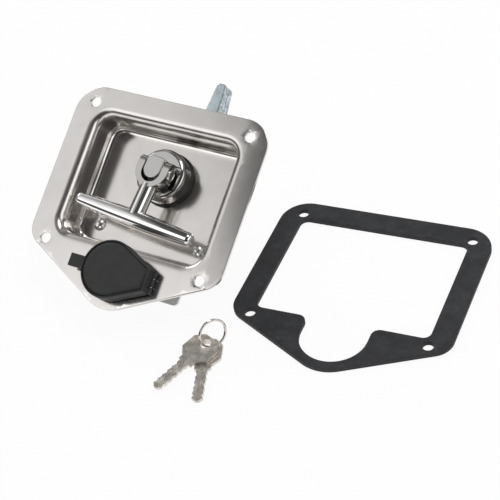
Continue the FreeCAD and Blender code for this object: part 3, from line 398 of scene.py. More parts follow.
@dataclass(frozen=True)
class CastMetal(Finish):
    """A die casting with a rough skin under its plate."""

    def dress(self, kit: NodeKit, shader: bpy.types.Node) -> None:
        """Adds the cast skin, with darker pits, and blotches of painted shade on the flank that
        faces right.

        Args:
            kit: the builder.
            shader: the Principled node.
        """
        shader.inputs["Metallic"].default_value = 0.85
        here = kit.place()
        lumps = kit.noise(here, size=1.4, detail=4.0, rough=0.65)
        normal = kit.add("ShaderNodeTexCoord").outputs["Normal"]
        facing = kit.add("ShaderNodeSeparateXYZ", {0: normal})
        flank = Signal(kit, facing.outputs["X"]).step(0.35, 0.7)
        # Painted shade: the flank that faces right is darkened in blotches, as that side faces the
        # dark part of the room.
        painted_flank_shade = kit.noise(here, size=2.5, detail=5.0, rough=0.75).step(0.43, 0.56) * flank
        pits = kit.cells(here, size=0.9).step(0.05, 0.3)
        cloud = kit.noise(here, size=7.0, detail=2.0)
        tint = kit.blend(cloud.step(0.3, 0.7), self.shade(0.86), self.shade(1.08))
        skin = kit.blend(pits * 0.35 + 0.65, self.shade(0.45), tint)
        self.link(kit, shader,
                  Base_Color=kit.blend(painted_flank_shade * 0.75, skin, self.shade(0.26)),
                  Roughness=(lumps - 0.5) * 0.3 + self.roughness)
        self.relief(kit, shader, (lumps + pits * 0.25) * (flank * 0.8 + 0.2), 0.14)


@dataclass(frozen=True)
class MouldedPlastic(Finish):
    """A moulding with a fine spark-eroded grain."""

    def dress(self, kit: NodeKit, shader: bpy.types.Node) -> None:
        """Adds the grain and uneven gloss from handling.

        Args:
            kit: the builder.
            shader: the Principled node.
        """
        here = kit.place()
        grain = kit.cells(here, size=0.28)
        cloud = kit.noise(here, size=6.0, detail=3.0)
        self.link(kit, shader,
                  Base_Color=kit.blend(cloud.step(0.3, 0.75), self.shade(0.85), self.shade(1.2)),
                  Roughness=(cloud - 0.5) * 0.16 + self.roughness)
        self.relief(kit, shader, grain, 0.016)


@dataclass(frozen=True)
class SheetRubber(Finish):
    """Sponge rubber sheet with pores and the round marks of the mat that it was pressed on."""

    marks: float = 6.5

    def dress(self, kit: NodeKit, shader: bpy.types.Node) -> None:
        """Adds pores, round marks and dusty patches.

        Args:
            kit: the builder.
            shader: the Principled node.
        """
        shader.inputs["Specular IOR Level"].default_value = 0.35
        here = kit.place()
        pores = kit.cells(here, size=0.45)
        rings = kit.cells(here, size=self.marks)
        ring = rings.step(0.22, 0.27) * (1.0 - rings.step(0.29, 0.34))
        cloud = kit.noise(here, size=9.0, detail=3.0)
        dust = cloud.step(0.3, 0.75) * 0.6 + ring * 0.4
        dusty = kit.blend(dust, self.shade(0.8), self.shade(1.7))
        self.link(kit, shader, Base_Color=dusty, Roughness=(cloud - 0.5) * 0.2 + self.roughness)
        self.relief(kit, shader, pores * 0.5 + ring * 0.5, 0.03)


@dataclass(frozen=True)
class TumbledNickel(Finish):
    """Nickel plate that was tumbled smooth and then handled."""

    def dress(self, kit: NodeKit, shader: bpy.types.Node) -> None:
        """Adds scratches both ways and a warm cast.

        Args:
            kit: the builder.
            shader: the Principled node.
        """
        shader.inputs["Metallic"].default_value = 0.9
        here = kit.place()
        one = kit.noise(kit.place((0, 0, 0.5), (0.04, 1, 1)), size=0.2, detail=3.0)
        other = kit.noise(kit.place((0, 0, 2.0), (0.05, 1, 1)), size=0.25, detail=3.0)
        cloud = kit.noise(here, size=4.0, detail=3.0)
        scratch = one.most(other).step(0.6, 0.8)
        self.link(kit, shader,
                  Base_Color=kit.blend(cloud.step(0.35, 0.65), self.shade(0.74), self.shade(1.1)),
                  Roughness=scratch * 0.12 + (cloud - 0.5) * 0.1 + self.roughness)
        self.relief(kit, shader, cloud - scratch * 0.3, 0.002)


STAINLESS = PolishedMetal("stainless_sheet", "polished_stainless", (0.77, 0.745, 0.72), 0.165,
                          rim_haze=0.075)
# CHROME and the darker copy below are the one chrome plate of the T-handle: the bar's copy is
# lighter as painted highlight, the fork's darker as painted shade.
CHROME = PolishedMetal("bright_chrome", "polished_chrome", (0.93, 0.92, 0.91), 0.08, 0.002, 0.03)
CHROME_PAINTED_DARKER = PolishedMetal("chrome_painted_darker", "polished_chrome", (0.60, 0.59, 0.575), 0.16, 0.006, 0.05)
TURNED = PolishedMetal("turned_chrome", "polished_chrome", (0.58, 0.57, 0.555), 0.13, 0.002, 0.03)
RIVET = PolishedMetal("rivet_head", "polished_chrome", (0.76, 0.75, 0.74), 0.26, 0.004, 0.05)
NICKEL_LOCK = PlatedSteel("satin_nickel", "lock_nickel", (0.72, 0.69, 0.63), 0.25)
PLATE = PlatedSteel("bright_zinc", "zinc_plated_steel", (0.66, 0.67, 0.68), 0.3)
CASTING = CastMetal("plated_casting", "cast_pawl", (0.60, 0.685, 0.725), 0.2)
PLASTIC = MouldedPlastic("moulded_black", "black_plastic", (0.022, 0.0225, 0.0235), 0.52)
SEAL = SheetRubber("seal_sponge", "seal_rubber", (0.030, 0.028, 0.026), 0.28, 3.0)
GASKET = SheetRubber("gasket_sponge", "gasket_rubber", (0.026, 0.027, 0.030), 0.62)
KEY = TumbledNickel("tumbled_nickel", "key_nickel", (0.80, 0.75, 0.69), 0.34)
RING = PlatedSteel("ring_nickel", "key_nickel", (0.74, 0.68, 0.63), 0.16)


# ---- space and meshes


@dataclass(frozen=True)
class LatchSpace:
    """Where the latch's own axes lie in the row frame."""

    lean: float = math.radians(32.556666)
    table: float = -53.42174

    def turn(self) -> Matrix:
        """The matrix from latch millimetres to row metres."""
        return Matrix.Rotation(self.lean, 4, "X") @ Matrix.Scale(MM, 4)


SPACE = LatchSpace()


class Draft:
    """Vertices and faces on their way to becoming a mesh."""

    def __init__(self) -> None:
        """Starts with nothing."""
        self.points: list[Vector] = []
        self.faces: list[list[int]] = []

    def ring(self, points: Iterable[Sequence[float]]) -> list[int]:
        """Adds points.

        Args:
            points: their places.

        Returns:
            Their numbers.
        """
        start = len(self.points)
        self.points += [Vector(point) for point in points]
        return list(range(start, len(self.points)))

    def bridge(self, one: list[int], other: list[int]) -> None:
        """Joins two closed rows of points with quads.

        Args:
            one: the first row.
            other: the second row, as long as the first.
        """
        for index, point in enumerate(one):
            after = (index + 1) % len(one)
            self.faces.append([point, one[after], other[after], other[index]])

    def loft(self, rings: Sequence[list[int]]) -> None:
        """Joins each closed row to the next."""
        for one, other in zip(rings, rings[1:]):
            self.bridge(one, other)

    def plate(self, loops: Sequence[list[int]], height: float, flip: bool,
              gap: float = 0.0) -> None:
        """Fills a flat area with holes.

        Args:
            loops: the outline, then the holes, as numbers of points.
            height: the area's level.
            flip: whether it faces down.
            gap: distance of the points inside the area, or 0 for none.
        """
        flat = [number for loop in loops for number in loop]
        places = [Vector((self.points[number].x, self.points[number].y)) for number in flat]
        lines, edges, start = [], [], 0
        for loop in loops:
            count = len(loop)
            lines.append(places[start: start + count])
            edges += [(start + i, start + (i + 1) % count) for i in range(count)]
            start += count
        if gap:
            extra = self.between(lines, gap)
            flat += self.ring([(x, y, height) for x, y in extra])
            places += extra
        points, _, faces, origins, _, _ = delaunay_2d_cdt(places, edges, [], 0, 1e-7)
        number_of = {index: flat[origin[0]] for index, origin in enumerate(origins) if origin}
        for face in faces:
            middle = sum((points[i] for i in face), Vector((0, 0))) / 3
            if within(middle, lines):
                corner = [number_of[i] for i in face]
                self.faces.append(corner[::-1] if flip else corner)

    @staticmethod
    def between(lines: Sequence[Sequence[Vector]], gap: float) -> list[Vector]:
        """Points of a grid within an area, none close to its edges.

        Args:
            lines: the outline, then the holes.
            gap: distance of the points.

        Returns:
            The points.
        """
        places = [place for line in lines for place in line]
        edges = KDTree(len(places))
        for index, place in enumerate(places):
            edges.insert((place.x, place.y, 0), index)
        edges.balance()
        found = []
        across = int(max(abs(place.x) for place in places) / gap) + 1
        along = int(max(abs(place.y) for place in places) / gap) + 1
        for row in range(-along, along + 1):
            for column in range(-across, across + 1):
                point = Vector(((column + 0.5 * (row % 2)) * gap, row * gap))
                near = edges.find((point.x, point.y, 0))[2]
                if near > gap * 0.6 and within(point, lines):
                    found.append(point)
        return found

    def finish(self, name: str, matrix: Matrix, keep_sharp: float) -> bpy.types.Object:
        """Makes the mesh object, its place in its mesh.

        Args:
            name: the object's name.
            matrix: from the draft's own units to row metres.
            keep_sharp: angle in degrees above which an edge stays sharp.

        Returns:
            The object.
        """
        mesh = bpy.data.meshes.new(name)
        mesh.from_pydata([matrix @ point for point in self.points], [], self.faces)
        return make_object(name, mesh, keep_sharp)


def inside(point: Vector, loop: Sequence[Vector]) -> bool:
    """Whether a point lies within a closed line.

    Args:
        point: the point.
        loop: the line's corners.

    Returns:
        True if it does.
    """
    found = False
    previous = loop[-1]
    for corner in loop:
        if (corner.y > point.y) != (previous.y > point.y):
            share = (point.y - corner.y) / (previous.y - corner.y)
            found = found != (point.x < corner.x + (previous.x - corner.x) * share)
        previous = corner
    return found


def within(point: Vector, lines: Sequence[Sequence[Vector]]) -> bool:
    """Whether a point lies within the first line and in none of the others."""
    return inside(point, lines[0]) and not any(inside(point, line) for line in lines[1:])


def make_object(name: str, mesh: bpy.types.Mesh, keep_sharp: float) -> bpy.types.Object:
    """An object at the origin with smooth faces and sharp edges.

    Args:
        name: its name.
        mesh: its mesh, in row metres.
        keep_sharp: angle in degrees above which an edge stays sharp.

    Returns:
        The object.
    """
    work = bmesh.new()
    work.from_mesh(mesh)
    bmesh.ops.remove_doubles(work, verts=work.verts, dist=WELD)
    bmesh.ops.recalc_face_normals(work, faces=work.faces)
    limit = math.radians(keep_sharp)
    for edge in work.edges:
        edge.smooth = len(edge.link_faces) == 2 and edge.calc_face_angle(0.0) < limit
    for face in work.faces:
        face.smooth = True
    work.to_mesh(mesh)
    work.free()
    piece = bpy.data.objects.new(name, mesh)
    bpy.context.scene.collection.objects.link(piece)
    return piece


def settle(piece: bpy.types.Object) -> None:
    """Makes a piece's modifiers part of its mesh.

    Args:
        piece: the piece.
    """
    graph = bpy.context.evaluated_depsgraph_get()
    mesh = bpy.data.meshes.new_from_object(piece.evaluated_get(graph), depsgraph=graph)
    piece.modifiers.clear()
    piece.data = mesh


def weigh_normals(piece: bpy.types.Object) -> None:
    """Lets large flat faces decide the shading at their edges.

    Args:
        piece: the piece.
    """
    modifier = piece.modifiers.new("weigh", "WEIGHTED_NORMAL")
    modifier.mode = "FACE_AREA"
    modifier.weight = 90
    modifier.keep_sharp = True
    settle(piece)


def place_piece(piece: bpy.types.Object, finish: Finish, body: Body,
                *nodes: str) -> bpy.types.Object:
    """Gives a piece its finish and its body, and hides the nodes that it stands for.

    Args:
        piece: the piece.
        finish: its finish.
        body: the body that it rides on.
        *nodes: the nodes that it replaces.

    Returns:
        The piece.
    """
    piece.data.materials.clear()
    piece.data.materials.append(finish.make())
    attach(piece, body.value)
    if nodes:
        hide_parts(*nodes)
    LOG.info("%s: %d faces", piece.name, len(piece.data.polygons))
    return piece


@dataclass
class EasedNode:
    """A CAD node remade with eased edges and smooth shading.

    A clip leaves out what lies past its origin along its -Y, and a crown is how wide and how
    deep the rim of the outer face rolls over.
    """

    node: str
    finish: Finish
    body: Body
    ease: float
    sharp: float = 32.0
    flat: float = 0.6
    clip: Matrix | None = None
    crown: tuple[float, float] | None = None
    crown_steps: int = 7

    def round_top(self, work: bmesh.types.BMesh) -> None:
        """Rolls the rim of the node's outer face over, as wide and as deep as the crown says.

        Args:
            work: the node's mesh in row metres.
        """
        wide, deep = self.crown
        out = SPACE.turn().to_3x3() @ Vector((0, 0, 1))
        work.normal_update()
        top = max((face for face in work.faces if face.normal.dot(out.normalized()) > 0.99),
                  key=lambda face: face.calc_area())
        for corner in top.verts:
            corner.co -= out * deep
        for step in range(self.crown_steps):
            one, two = (math.radians(90 * (step + part) / self.crown_steps) for part in (0, 1))
            across = wide * (math.cos(one) - math.cos(two)) * MM
            rise = deep * (math.sin(two) - math.sin(one)) * MM
            bmesh.ops.inset_region(work, faces=[top], thickness=across, depth=rise,
                                   use_even_offset=True)

    def build(self) -> bpy.types.Object:
        """Copies the node's mesh, joins its triangles and eases its edges.

        Returns:
            The piece.
        """
        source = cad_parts[self.node]
        mesh = source.data.copy()
        mesh.transform(source.matrix_world)
        work = bmesh.new()
        work.from_mesh(mesh)
        bmesh.ops.remove_doubles(work, verts=work.verts, dist=WELD)
        bmesh.ops.dissolve_limit(work, angle_limit=math.radians(self.flat), verts=work.verts,
                                 edges=work.edges, use_dissolve_boundaries=False)
        if self.clip:
            origin, normal = self.clip.to_translation(), self.clip.to_3x3() @ Vector((0, -1, 0))
            bmesh.ops.bisect_plane(work, geom=work.verts[:] + work.edges[:] + work.faces[:],
                                   plane_co=origin, plane_no=normal.normalized(), clear_outer=True)
        if self.crown:
            self.round_top(work)
        work.to_mesh(mesh)
        work.free()
        piece = make_object(f"{self.node}_eased", mesh, self.sharp)
        if self.ease > 0:
            bevel = piece.modifiers.new("ease", "BEVEL")
            bevel.width = self.ease * MM
            bevel.segments = 3
            bevel.limit_method = "ANGLE"
            bevel.angle_limit = math.radians(self.sharp)
            settle(piece)
        weigh_normals(piece)
        return place_piece(piece, self.finish, self.body, self.node)


@dataclass
class Winding:
    """A ridge or a wire wound round an axis by a node group, such as a thread.

    Its section is an oval with a number of corners, half_out wide from the axis outwards and
    half_along high, both as radii.
    """

    name: str
    radius: float
    pitch: float
    turns: float
    half_out: float
    half_along: float
    corners: int

    @staticmethod
    def group() -> bpy.types.NodeTree:
        """The node group, made once: a helix swept by an oval with a number of corners.

        Returns:
            The group.
        """
        known = bpy.data.node_groups.get("winding")
        if known:
            return known
        tree = bpy.data.node_groups.new("winding", "GeometryNodeTree")
        kit = NodeKit(tree)
        for name, kind in (("Radius", "Float"), ("Height", "Float"), ("Turns", "Float"),
                           ("Half Out", "Float"), ("Half Along", "Float"), ("Corners", "Int"),
                           ("Material", "Material")):
            tree.interface.new_socket(name=name, in_out="INPUT", socket_type=f"NodeSocket{kind}")
        tree.interface.new_socket(name="Geometry", in_out="OUTPUT",
                                  socket_type="NodeSocketGeometry")
        given = kit.add("NodeGroupInput").outputs
        helix = kit.add("GeometryNodeCurveSpiral", {
            "Resolution": 48, "Rotations": given["Turns"], "Start Radius": given["Radius"],
            "End Radius": given["Radius"], "Height": given["Height"]})
        level = kit.add("GeometryNodeSetCurveNormal", {"Curve": helix.outputs["Curve"]},
                        mode="Z_UP")
        oval = kit.add("GeometryNodeCurvePrimitiveCircle",
                       {"Resolution": given["Corners"], "Radius": 1.0})
        scale = kit.add("ShaderNodeCombineXYZ",
                        {"X": given["Half Out"], "Y": given["Half Along"], "Z": 1.0})
        shape = kit.add("GeometryNodeTransform", {"Geometry": oval.outputs["Curve"],
                                                  "Scale": scale.outputs["Vector"]})
        swept = kit.add("GeometryNodeCurveToMesh", {
            "Curve": level.outputs["Curve"], "Profile Curve": shape.outputs["Geometry"],
            "Fill Caps": True})
        solid = kit.add("GeometryNodeRealizeInstances", {"Geometry": swept.outputs["Mesh"]})
        dressed = kit.add("GeometryNodeSetMaterial", {"Geometry": solid.outputs["Geometry"],
                                                      "Material": given["Material"]})
        kit.add("NodeGroupOutput", {"Geometry": dressed.outputs["Geometry"]})
        return tree

    def build(self, place: Matrix, finish: Finish, body: Body, *nodes: str) -> bpy.types.Object:
        """Winds the ridge and sets it in place.

        Args:
            place: from the winding's own millimetres, its middle at the origin, to row metres.
            finish: its finish.
            body: the body that it rides on.
            *nodes: the nodes that it replaces.

        Returns:
            The piece.
        """
        piece = bpy.data.objects.new(self.name, bpy.data.meshes.new(self.name))
        bpy.context.scene.collection.objects.link(piece)
        modifier = piece.modifiers.new("winding", "NODES")
        modifier.node_group = self.group()
        height = self.pitch * self.turns
        values = {"Radius": self.radius, "Height": height, "Turns": self.turns,
                  "Half Out": self.half_out, "Half Along": self.half_along,
                  "Corners": self.corners, "Material": finish.make()}
        for item in modifier.node_group.interface.items_tree:
            if item.in_out == "INPUT":
                modifier[item.identifier] = values[item.name]
        piece.update_tag()
        settle(piece)
        piece.data.transform(place @ Matrix.Translation((0, 0, -height / 2)))
        mesh = piece.data
        bpy.data.objects.remove(piece)
        wound = make_object(self.name, mesh, keep_sharp=45.0)
        return place_piece(wound, finish, body, *nodes)


def arc(centre: tuple[float, float], radius: float, start: float, end: float,
        steps: int) -> list[tuple[float, float]]:
    """Points on an arc.

    Args:
        centre: the arc's centre.
        radius: its radius.
        start: first angle in degrees.
        end: last angle in degrees.
        steps: number of parts.

    Returns:
        The points, both ends among them.
    """
    angles = [math.radians(start + (end - start) * i / steps) for i in range(steps + 1)]
    return [(centre[0] + radius * math.cos(a), centre[1] + radius * math.sin(a)) for a in angles]


def rounded(corners: Sequence[tuple[float, float, float]], steps: int) -> list[tuple[float, float]]:
    """A closed outline with its corners rounded.

    Args:
        corners: x, y and the radius of each corner, anticlockwise.
        steps: number of parts of each corner.

    Returns:
        The outline's points.
    """
    points = []
    count = len(corners)
    for index, (x, y, radius) in enumerate(corners):
        here = Vector((x, y))
        back = (Vector(corners[index - 1][:2]) - here).normalized()
        ahead = (Vector(corners[(index + 1) % count][:2]) - here).normalized()
        half = back.angle(ahead) / 2
        reach = radius / math.tan(half)
        centre = here + (back + ahead).normalized() * (radius / math.sin(half))
        first = here + back * reach - centre
        last = here + ahead * reach - centre
        start = math.atan2(first.y, first.x)
        sweep = (math.atan2(last.y, last.x) - start + math.pi) % (2 * math.pi) - math.pi
        for step in range(steps + 1):
            angle = start + sweep * step / steps
            points.append((centre.x + radius * math.cos(angle),
                           centre.y + radius * math.sin(angle)))
    return points


def circle(x: float, y: float, radius: float, steps: int) -> list[tuple[float, float]]:
    """Points on a circle, anticlockwise.

    Args:
        x: its centre.
        y: its centre.
        radius: its radius.
        steps: number of points.

    Returns:
        The points.
    """
    turn = 2 * math.pi / steps
    return [(x + radius * math.cos(i * turn), y + radius * math.sin(i * turn))
            for i in range(steps)]


# ---- sub-assemblies


@dataclass
class Dish:
    """The drawn stainless dish: flange, pan and holes, of one sheet thickness.

    flange_corners are the radii at the top, at the sides and at the apex. The pan is its lowest
    and highest x and y. Holes are x, y and radius, and hole_steps their numbers of points: the
    mounting holes', the lock's and the floor's. Past flat_half the flange droops, by a share of
    the distance and of its square.
    """

    sheet: float = 1.5
    half_width: float = 65.0
    top: float = 53.3
    side: float = -43.6
    apex: float = -76.8
    flange_corners: tuple[float, float, float] = (17.0, 13.0, 23.5)
    flange_steps: int = 16
    pan: tuple[float, float, float, float] = (-47.3, -35.9, 47.3, 37.0)
    pan_corner: float = 9.0
    pan_steps: int = 14
    depth: float = 20.0
    rim: float = 5.2
    root: float = 3.6
    bend_steps: int = 12
    edge: float = 0.35
    holes: tuple[float, float, float] = (52.5, 43.25, 3.2)
    hole_ease: float = 0.25
    lock_hole: tuple[float, float, float] = (0, -52.2, 9.45)
    floor_holes: tuple[tuple[float, float, float], ...] = (
        (0, 12, 9.05), (-34, -23.8, 2.05), (34, -23.8, 2.05))
    hole_steps: tuple[int, int, int] = (32, 48, 40)
    grid: float = 2.4
    flat_half: tuple[float, float] = (49.0, 40.0)
    droop: tuple[float, float] = (0.015, 0.0011)
    droop_above: float = -1.0

    def fall(self, point: Vector) -> float:
        """How far the drawn flange falls away at a point near its sides or its top.

        Args:
            point: the point.

        Returns:
            The distance.
        """
        side = max(0.0, abs(point.x) - self.flat_half[0])
        top = max(0.0, point.y - self.flat_half[1])
        return self.droop[0] * side + self.droop[1] * (side * side + top * top)

    def outline(self, inset: float) -> list[tuple[float, float]]:
        """The flange's outline.

        Args:
            inset: how far it is drawn in.

        Returns:
            Its points, anticlockwise.
        """
        slope = math.atan2(self.side - self.apex, self.half_width)
        wide = self.half_width - inset
        tip = self.apex + inset / math.cos(slope)
        low = tip + wide * math.tan(slope)
        high = self.top - inset
        upper, lower, point = (radius - inset for radius in self.flange_corners)
        return rounded([(wide, high, upper), (-wide, high, upper), (-wide, low, lower),
                        (0.0, tip, point), (wide, low, lower)], self.flange_steps)

    def pan_loop(self, out: float) -> list[tuple[float, float]]:
        """The pan's outline.

        Args:
            out: how far it is let out.

        Returns:
            Its points, anticlockwise.
        """
        low_x, low_y, high_x, high_y = self.pan
        radius = self.pan_corner + out
        return rounded([
            (high_x + out, high_y + out, radius), (low_x - out, high_y + out, radius),
            (low_x - out, low_y - out, radius), (high_x + out, low_y - out, radius),
        ], self.pan_steps)

    def mounting_holes(self, out: float) -> list[list[tuple[float, float]]]:
        """The outlines of the four mounting holes.

        Args:
            out: how far they are let out.

        Returns:
            The outlines.
        """
        span_x, span_y, radius = self.holes
        return [circle(side * span_x, end * span_y, radius + out, self.hole_steps[0])
                for side in (-1, 1) for end in (-1, 1)]

    def profile(self, skin: float) -> list[tuple[float, float]]:
        """The pan's section as let-out and height, from the flange to the floor.

        Args:
            skin: 0 for the face that is seen, the sheet's thickness for the rear.

        Returns:
            The section's points.
        """
        rim, root = self.rim - skin, self.root + skin
        upper = arc((self.rim, self.sheet - self.rim), rim, 90, 180, self.bend_steps)
        lower = arc((-self.root, self.root - self.depth), root, 0, -90, self.bend_steps)
        return upper + lower

    def face(self, draft: Draft, skin: float) -> tuple[list[int], list[list[int]]]:
        """One side of the sheet.

        Args:
            draft: the draft to add to.
            skin: 0 for the front, the sheet's thickness for the rear.

        Returns:
            The flange's edge, and the holes' edges, the mounting holes' first.
        """
        down = skin > 0
        height = self.sheet - skin
        rings = [draft.ring([(x, y, z) for x, y in self.pan_loop(out)])
                 for out, z in self.profile(skin)]
        draft.loft(rings)
        inset = 0.0 if down else self.edge
        edge = draft.ring([(x, y, height) for x, y in self.outline(inset)])
        rounds = self.mounting_holes(0.0 if down else self.hole_ease)
        rounds.append(circle(*self.lock_hole, self.hole_steps[1]))
        holes = [draft.ring([(x, y, height) for x, y in loop]) for loop in rounds]
        draft.plate([edge, rings[0]] + holes, height, down, self.grid)
        floor = -self.depth - skin
        low = [draft.ring([(x, y, floor) for x, y in circle(*hole, self.hole_steps[2])])
               for hole in self.floor_holes]
        draft.plate([rings[-1]] + low, floor, down)
        return edge, holes + low

    def build(self) -> None:
        """Builds both sides of the sheet and joins them round the edge and in the holes."""
        draft = Draft()
        front_edge, front_holes = self.face(draft, 0.0)
        rear_edge, rear_holes = self.face(draft, self.sheet)
        previous = front_edge
        for angle in (60, 30, 0):
            a = math.radians(angle)
            inset = self.edge * (1 - math.cos(a))
            height = self.sheet - self.edge * (1 - math.sin(a))
            step = draft.ring([(x, y, height) for x, y in self.outline(inset)])
            draft.bridge(previous, step)
            previous = step
        draft.bridge(previous, rear_edge)
        straight = self.mounting_holes(0.0)
        for number, (front, rear) in enumerate(zip(front_holes, rear_holes)):
            start = front
            if number < len(straight):
                start = draft.ring([(x, y, self.sheet - self.hole_ease)
                                    for x, y in straight[number]])
                draft.bridge(front, start)
            draft.bridge(start, rear)
        for point in draft.points:
            if point.z > self.droop_above:
                point.z -= self.fall(point)
        piece = draft.finish("drawn_dish", SPACE.turn(), keep_sharp=50.0)
        weigh_normals(piece)
        place_piece(piece, STAINLESS, Body.HOUSING, "dish_plate")
        for node in ("floor_rivet_1", "floor_rivet_2"):
            EasedNode(node, RIVET, Body.HOUSING, 0.15).build()
        for node in ("stop_bracket", "bearing_bush", "thrust_washer"):
            EasedNode(node, PLATE, Body.HOUSING, 0.2).build()
        EasedNode("hub_seal", SEAL, Body.HOUSING, 0.0).build()


@dataclass
class Spindle:
    """Hub, shaft and what turns with them behind the dish."""

    thread_place: tuple[float, float, float] = (0.0, 12.0, -64.4)

    def build(self) -> None:
        """Remakes the spindle's pieces."""
        EasedNode("spindle", TURNED, Body.SPINDLE, 0.5).build()
        EasedNode("pawl", CASTING, Body.SPINDLE, 0.9).build()
        thread = Winding("shaft_thread", radius=3.95, pitch=1.25, turns=6.0, half_out=0.35,
                         half_along=0.5, corners=4)
        thread.build(SPACE.turn() @ Matrix.Translation(self.thread_place), PLATE, Body.SPINDLE)
        for node in ("lock_plate", "spacer_tube", "lock_washer", "hex_nut"):
            EasedNode(node, PLATE, Body.SPINDLE, 0.3).build()


@dataclass
class Handle:
    """The folding T: fork, stem, bar and pin.

    The fork is the CAD's, down to fork_end. Stem and bar are turned, along y and along x from
    the pin.
    """

    pin: tuple[float, float, float] = (0.0, 12.0, -2.0)
    turned: float = -5.0
    fork_end: float = -10.9
    stem_top: float = -9.0
    stem_radius: float = 5.0
    stem_sides: int = 72
    stem_steps: int = 6
    bar_drop: float = -30.7
    bar_half: float = 41.0
    bar_sides: int = 96
    bow_steps: int = 14
    belly: float = 5.4
    tip: float = 3.8
    tip_round: float = 3.0
    tip_steps: int = 9

    def own(self, *place: float) -> Matrix:
        """From the handle's own millimetres, the pin at the origin, to row metres.

        Args:
            *place: a place in those millimetres to move to.

        Returns:
            The matrix.
        """
        return (SPACE.turn() @ Matrix.Translation(self.pin)
                @ Matrix.Rotation(math.radians(self.turned), 4, "Z") @ Matrix.Translation(place))

    def bar_section(self) -> list[tuple[float, float]]:
        """The bar's bowed outline from tip to tip.

        Returns:
            Places along the bar, each with its radius.
        """
        flat = self.bar_half - self.tip_round
        bow = [(x, self.belly - (self.belly - self.tip) * (x / self.bar_half) ** 2)
               for x in (flat * i / self.bow_steps for i in range(self.bow_steps + 1))]
        centre = (flat, bow[-1][1] - self.tip_round)
        nose = arc(centre, self.tip_round, 90, 0, self.tip_steps)[1:]
        half = bow + nose
        return [(-x, r) for x, r in reversed(half[1:])] + half

    def stem_section(self) -> list[tuple[float, float]]:
        """The stem's outline from the fork into the bar.

        Returns:
            Places along the stem, each with its radius.
        """
        drop = self.bar_drop - self.stem_top
        return [(self.stem_top + drop * i / self.stem_steps, self.stem_radius)
                for i in range(self.stem_steps + 1)]

    def build(self) -> None:
        """Remakes the fork and the pin, and turns the stem and the bar."""
        clip = self.own(0, self.fork_end, 0)
        # The fork takes the darker copy of the chrome, painted shade; the bar and stem take the
        # lighter one, painted highlight.
        EasedNode("t_handle", CHROME_PAINTED_DARKER, Body.HANDLE, 0.45, clip=clip).build()
        EasedNode("hinge_pin", CHROME, Body.HANDLE, 0.2).build()
        draft = Draft()
        rings = [draft.ring([(x, self.bar_drop + y, z) for y, z in circle(0, 0, r, self.bar_sides)])
                 for x, r in self.bar_section()]
        draft.loft(rings)
        draft.faces += [rings[0][::-1], rings[-1]]
        rings = [draft.ring([(x, y, z) for x, z in circle(0, 0, r, self.stem_sides)])
                 for y, r in self.stem_section()]
        draft.loft(rings)
        draft.faces += [rings[0], rings[-1][::-1]]
        bar = draft.finish("bar_and_stem", self.own(0, 0, 0), keep_sharp=60.0)
        place_piece(bar, CHROME, Body.HANDLE)


@dataclass
class Lock:
    """The key lock in the flange, and its weather cap."""

    thread_place: tuple[float, float, float] = (0.0, -52.2, -13.3)
    lid_crown: tuple[float, float] = (2.6, 1.2)

    def build(self) -> None:
        """Remakes the lock's and the cap's pieces."""
        EasedNode("lock_body", CHROME, Body.HOUSING, 0.3).build()
        EasedNode("lock_nut", PLATE, Body.HOUSING, 0.3).build()
        thread = Winding("lock_thread", radius=9.3, pitch=1.0, turns=16.0, half_out=0.35,
                         half_along=0.42, corners=4)
        thread.build(SPACE.turn() @ Matrix.Translation(self.thread_place), CHROME, Body.HOUSING)
        EasedNode("lock_plug", NICKEL_LOCK, Body.PLUG, 0.2).build()
        EasedNode("lock_cam", PLATE, Body.PLUG, 0.25).build()
        EasedNode("cam_screw", PLATE, Body.PLUG, 0.3).build()
        EasedNode("cap_base", PLASTIC, Body.HOUSING, 0.2).build()
        EasedNode("cap_pin", PLATE, Body.HOUSING, 0.15).build()
        EasedNode("cap_lid", PLASTIC, Body.LID, 0.25, crown=self.lid_crown).build()


@dataclass
class LoosePieces:
    """The gasket, the keys and the ring on the table."""

    ring_centre: tuple[float, float, float] = (65.775, -52.1356, -44.7653)
    ring_heading: float = 62.0
    ring_lean: float = 76.0

    def ring_place(self) -> Matrix:
        """Where the split ring stands.

        Returns:
            The matrix from its own millimetres to row metres.
        """
        return (Matrix.Scale(MM, 4) @ Matrix.Translation(self.ring_centre)
                @ Matrix.Rotation(math.radians(self.ring_heading), 4, "Z")
                @ Matrix.Rotation(math.radians(self.ring_lean), 4, "X"))

    def build(self) -> None:
        """Remakes the loose pieces."""
        EasedNode("gasket", GASKET, Body.HOUSING, 0.35).build()
        EasedNode("key_1", KEY, Body.HOUSING, 0.0).build()
        EasedNode("key_2", KEY, Body.HOUSING, 0.0).build()
        ring = Winding("split_ring", radius=8.2, pitch=0.68, turns=1.9, half_out=0.68,
                       half_along=0.33, corners=14)
        ring.build(self.ring_place(), RING, Body.HOUSING, "key_ring")


# ---- studio


@dataclass(frozen=True)
class Patch:
    """A soft-edged patch of light in the room, by the direction that a mirror looks in.

    Each pair is where a side of the patch starts and ends along that axis of a unit direction:
    a rise brings the light in and a fall takes it away.
    """

    light: float
    x_rise: tuple[float, float] | None = None
    x_fall: tuple[float, float] | None = None
    y_rise: tuple[float, float] | None = None
    z_rise: tuple[float, float] | None = None
    z_fall: tuple[float, float] | None = None

    def seen(self, x: Signal, y: Signal, z: Signal) -> Signal:
        """The patch's light over all directions.

        Args:
            x: the direction's x.
            y: its y.
            z: its z.

        Returns:
            The light.
        """
        amount: Any = self.light
        for axis, rise, fall in ((x, self.x_rise, self.x_fall), (y, self.y_rise, None),
                                 (z, self.z_rise, self.z_fall)):
            if rise:
                amount = axis.step(*rise) * amount
            if fall:
                amount = (1.0 - axis.step(*fall)) * amount
        return amount


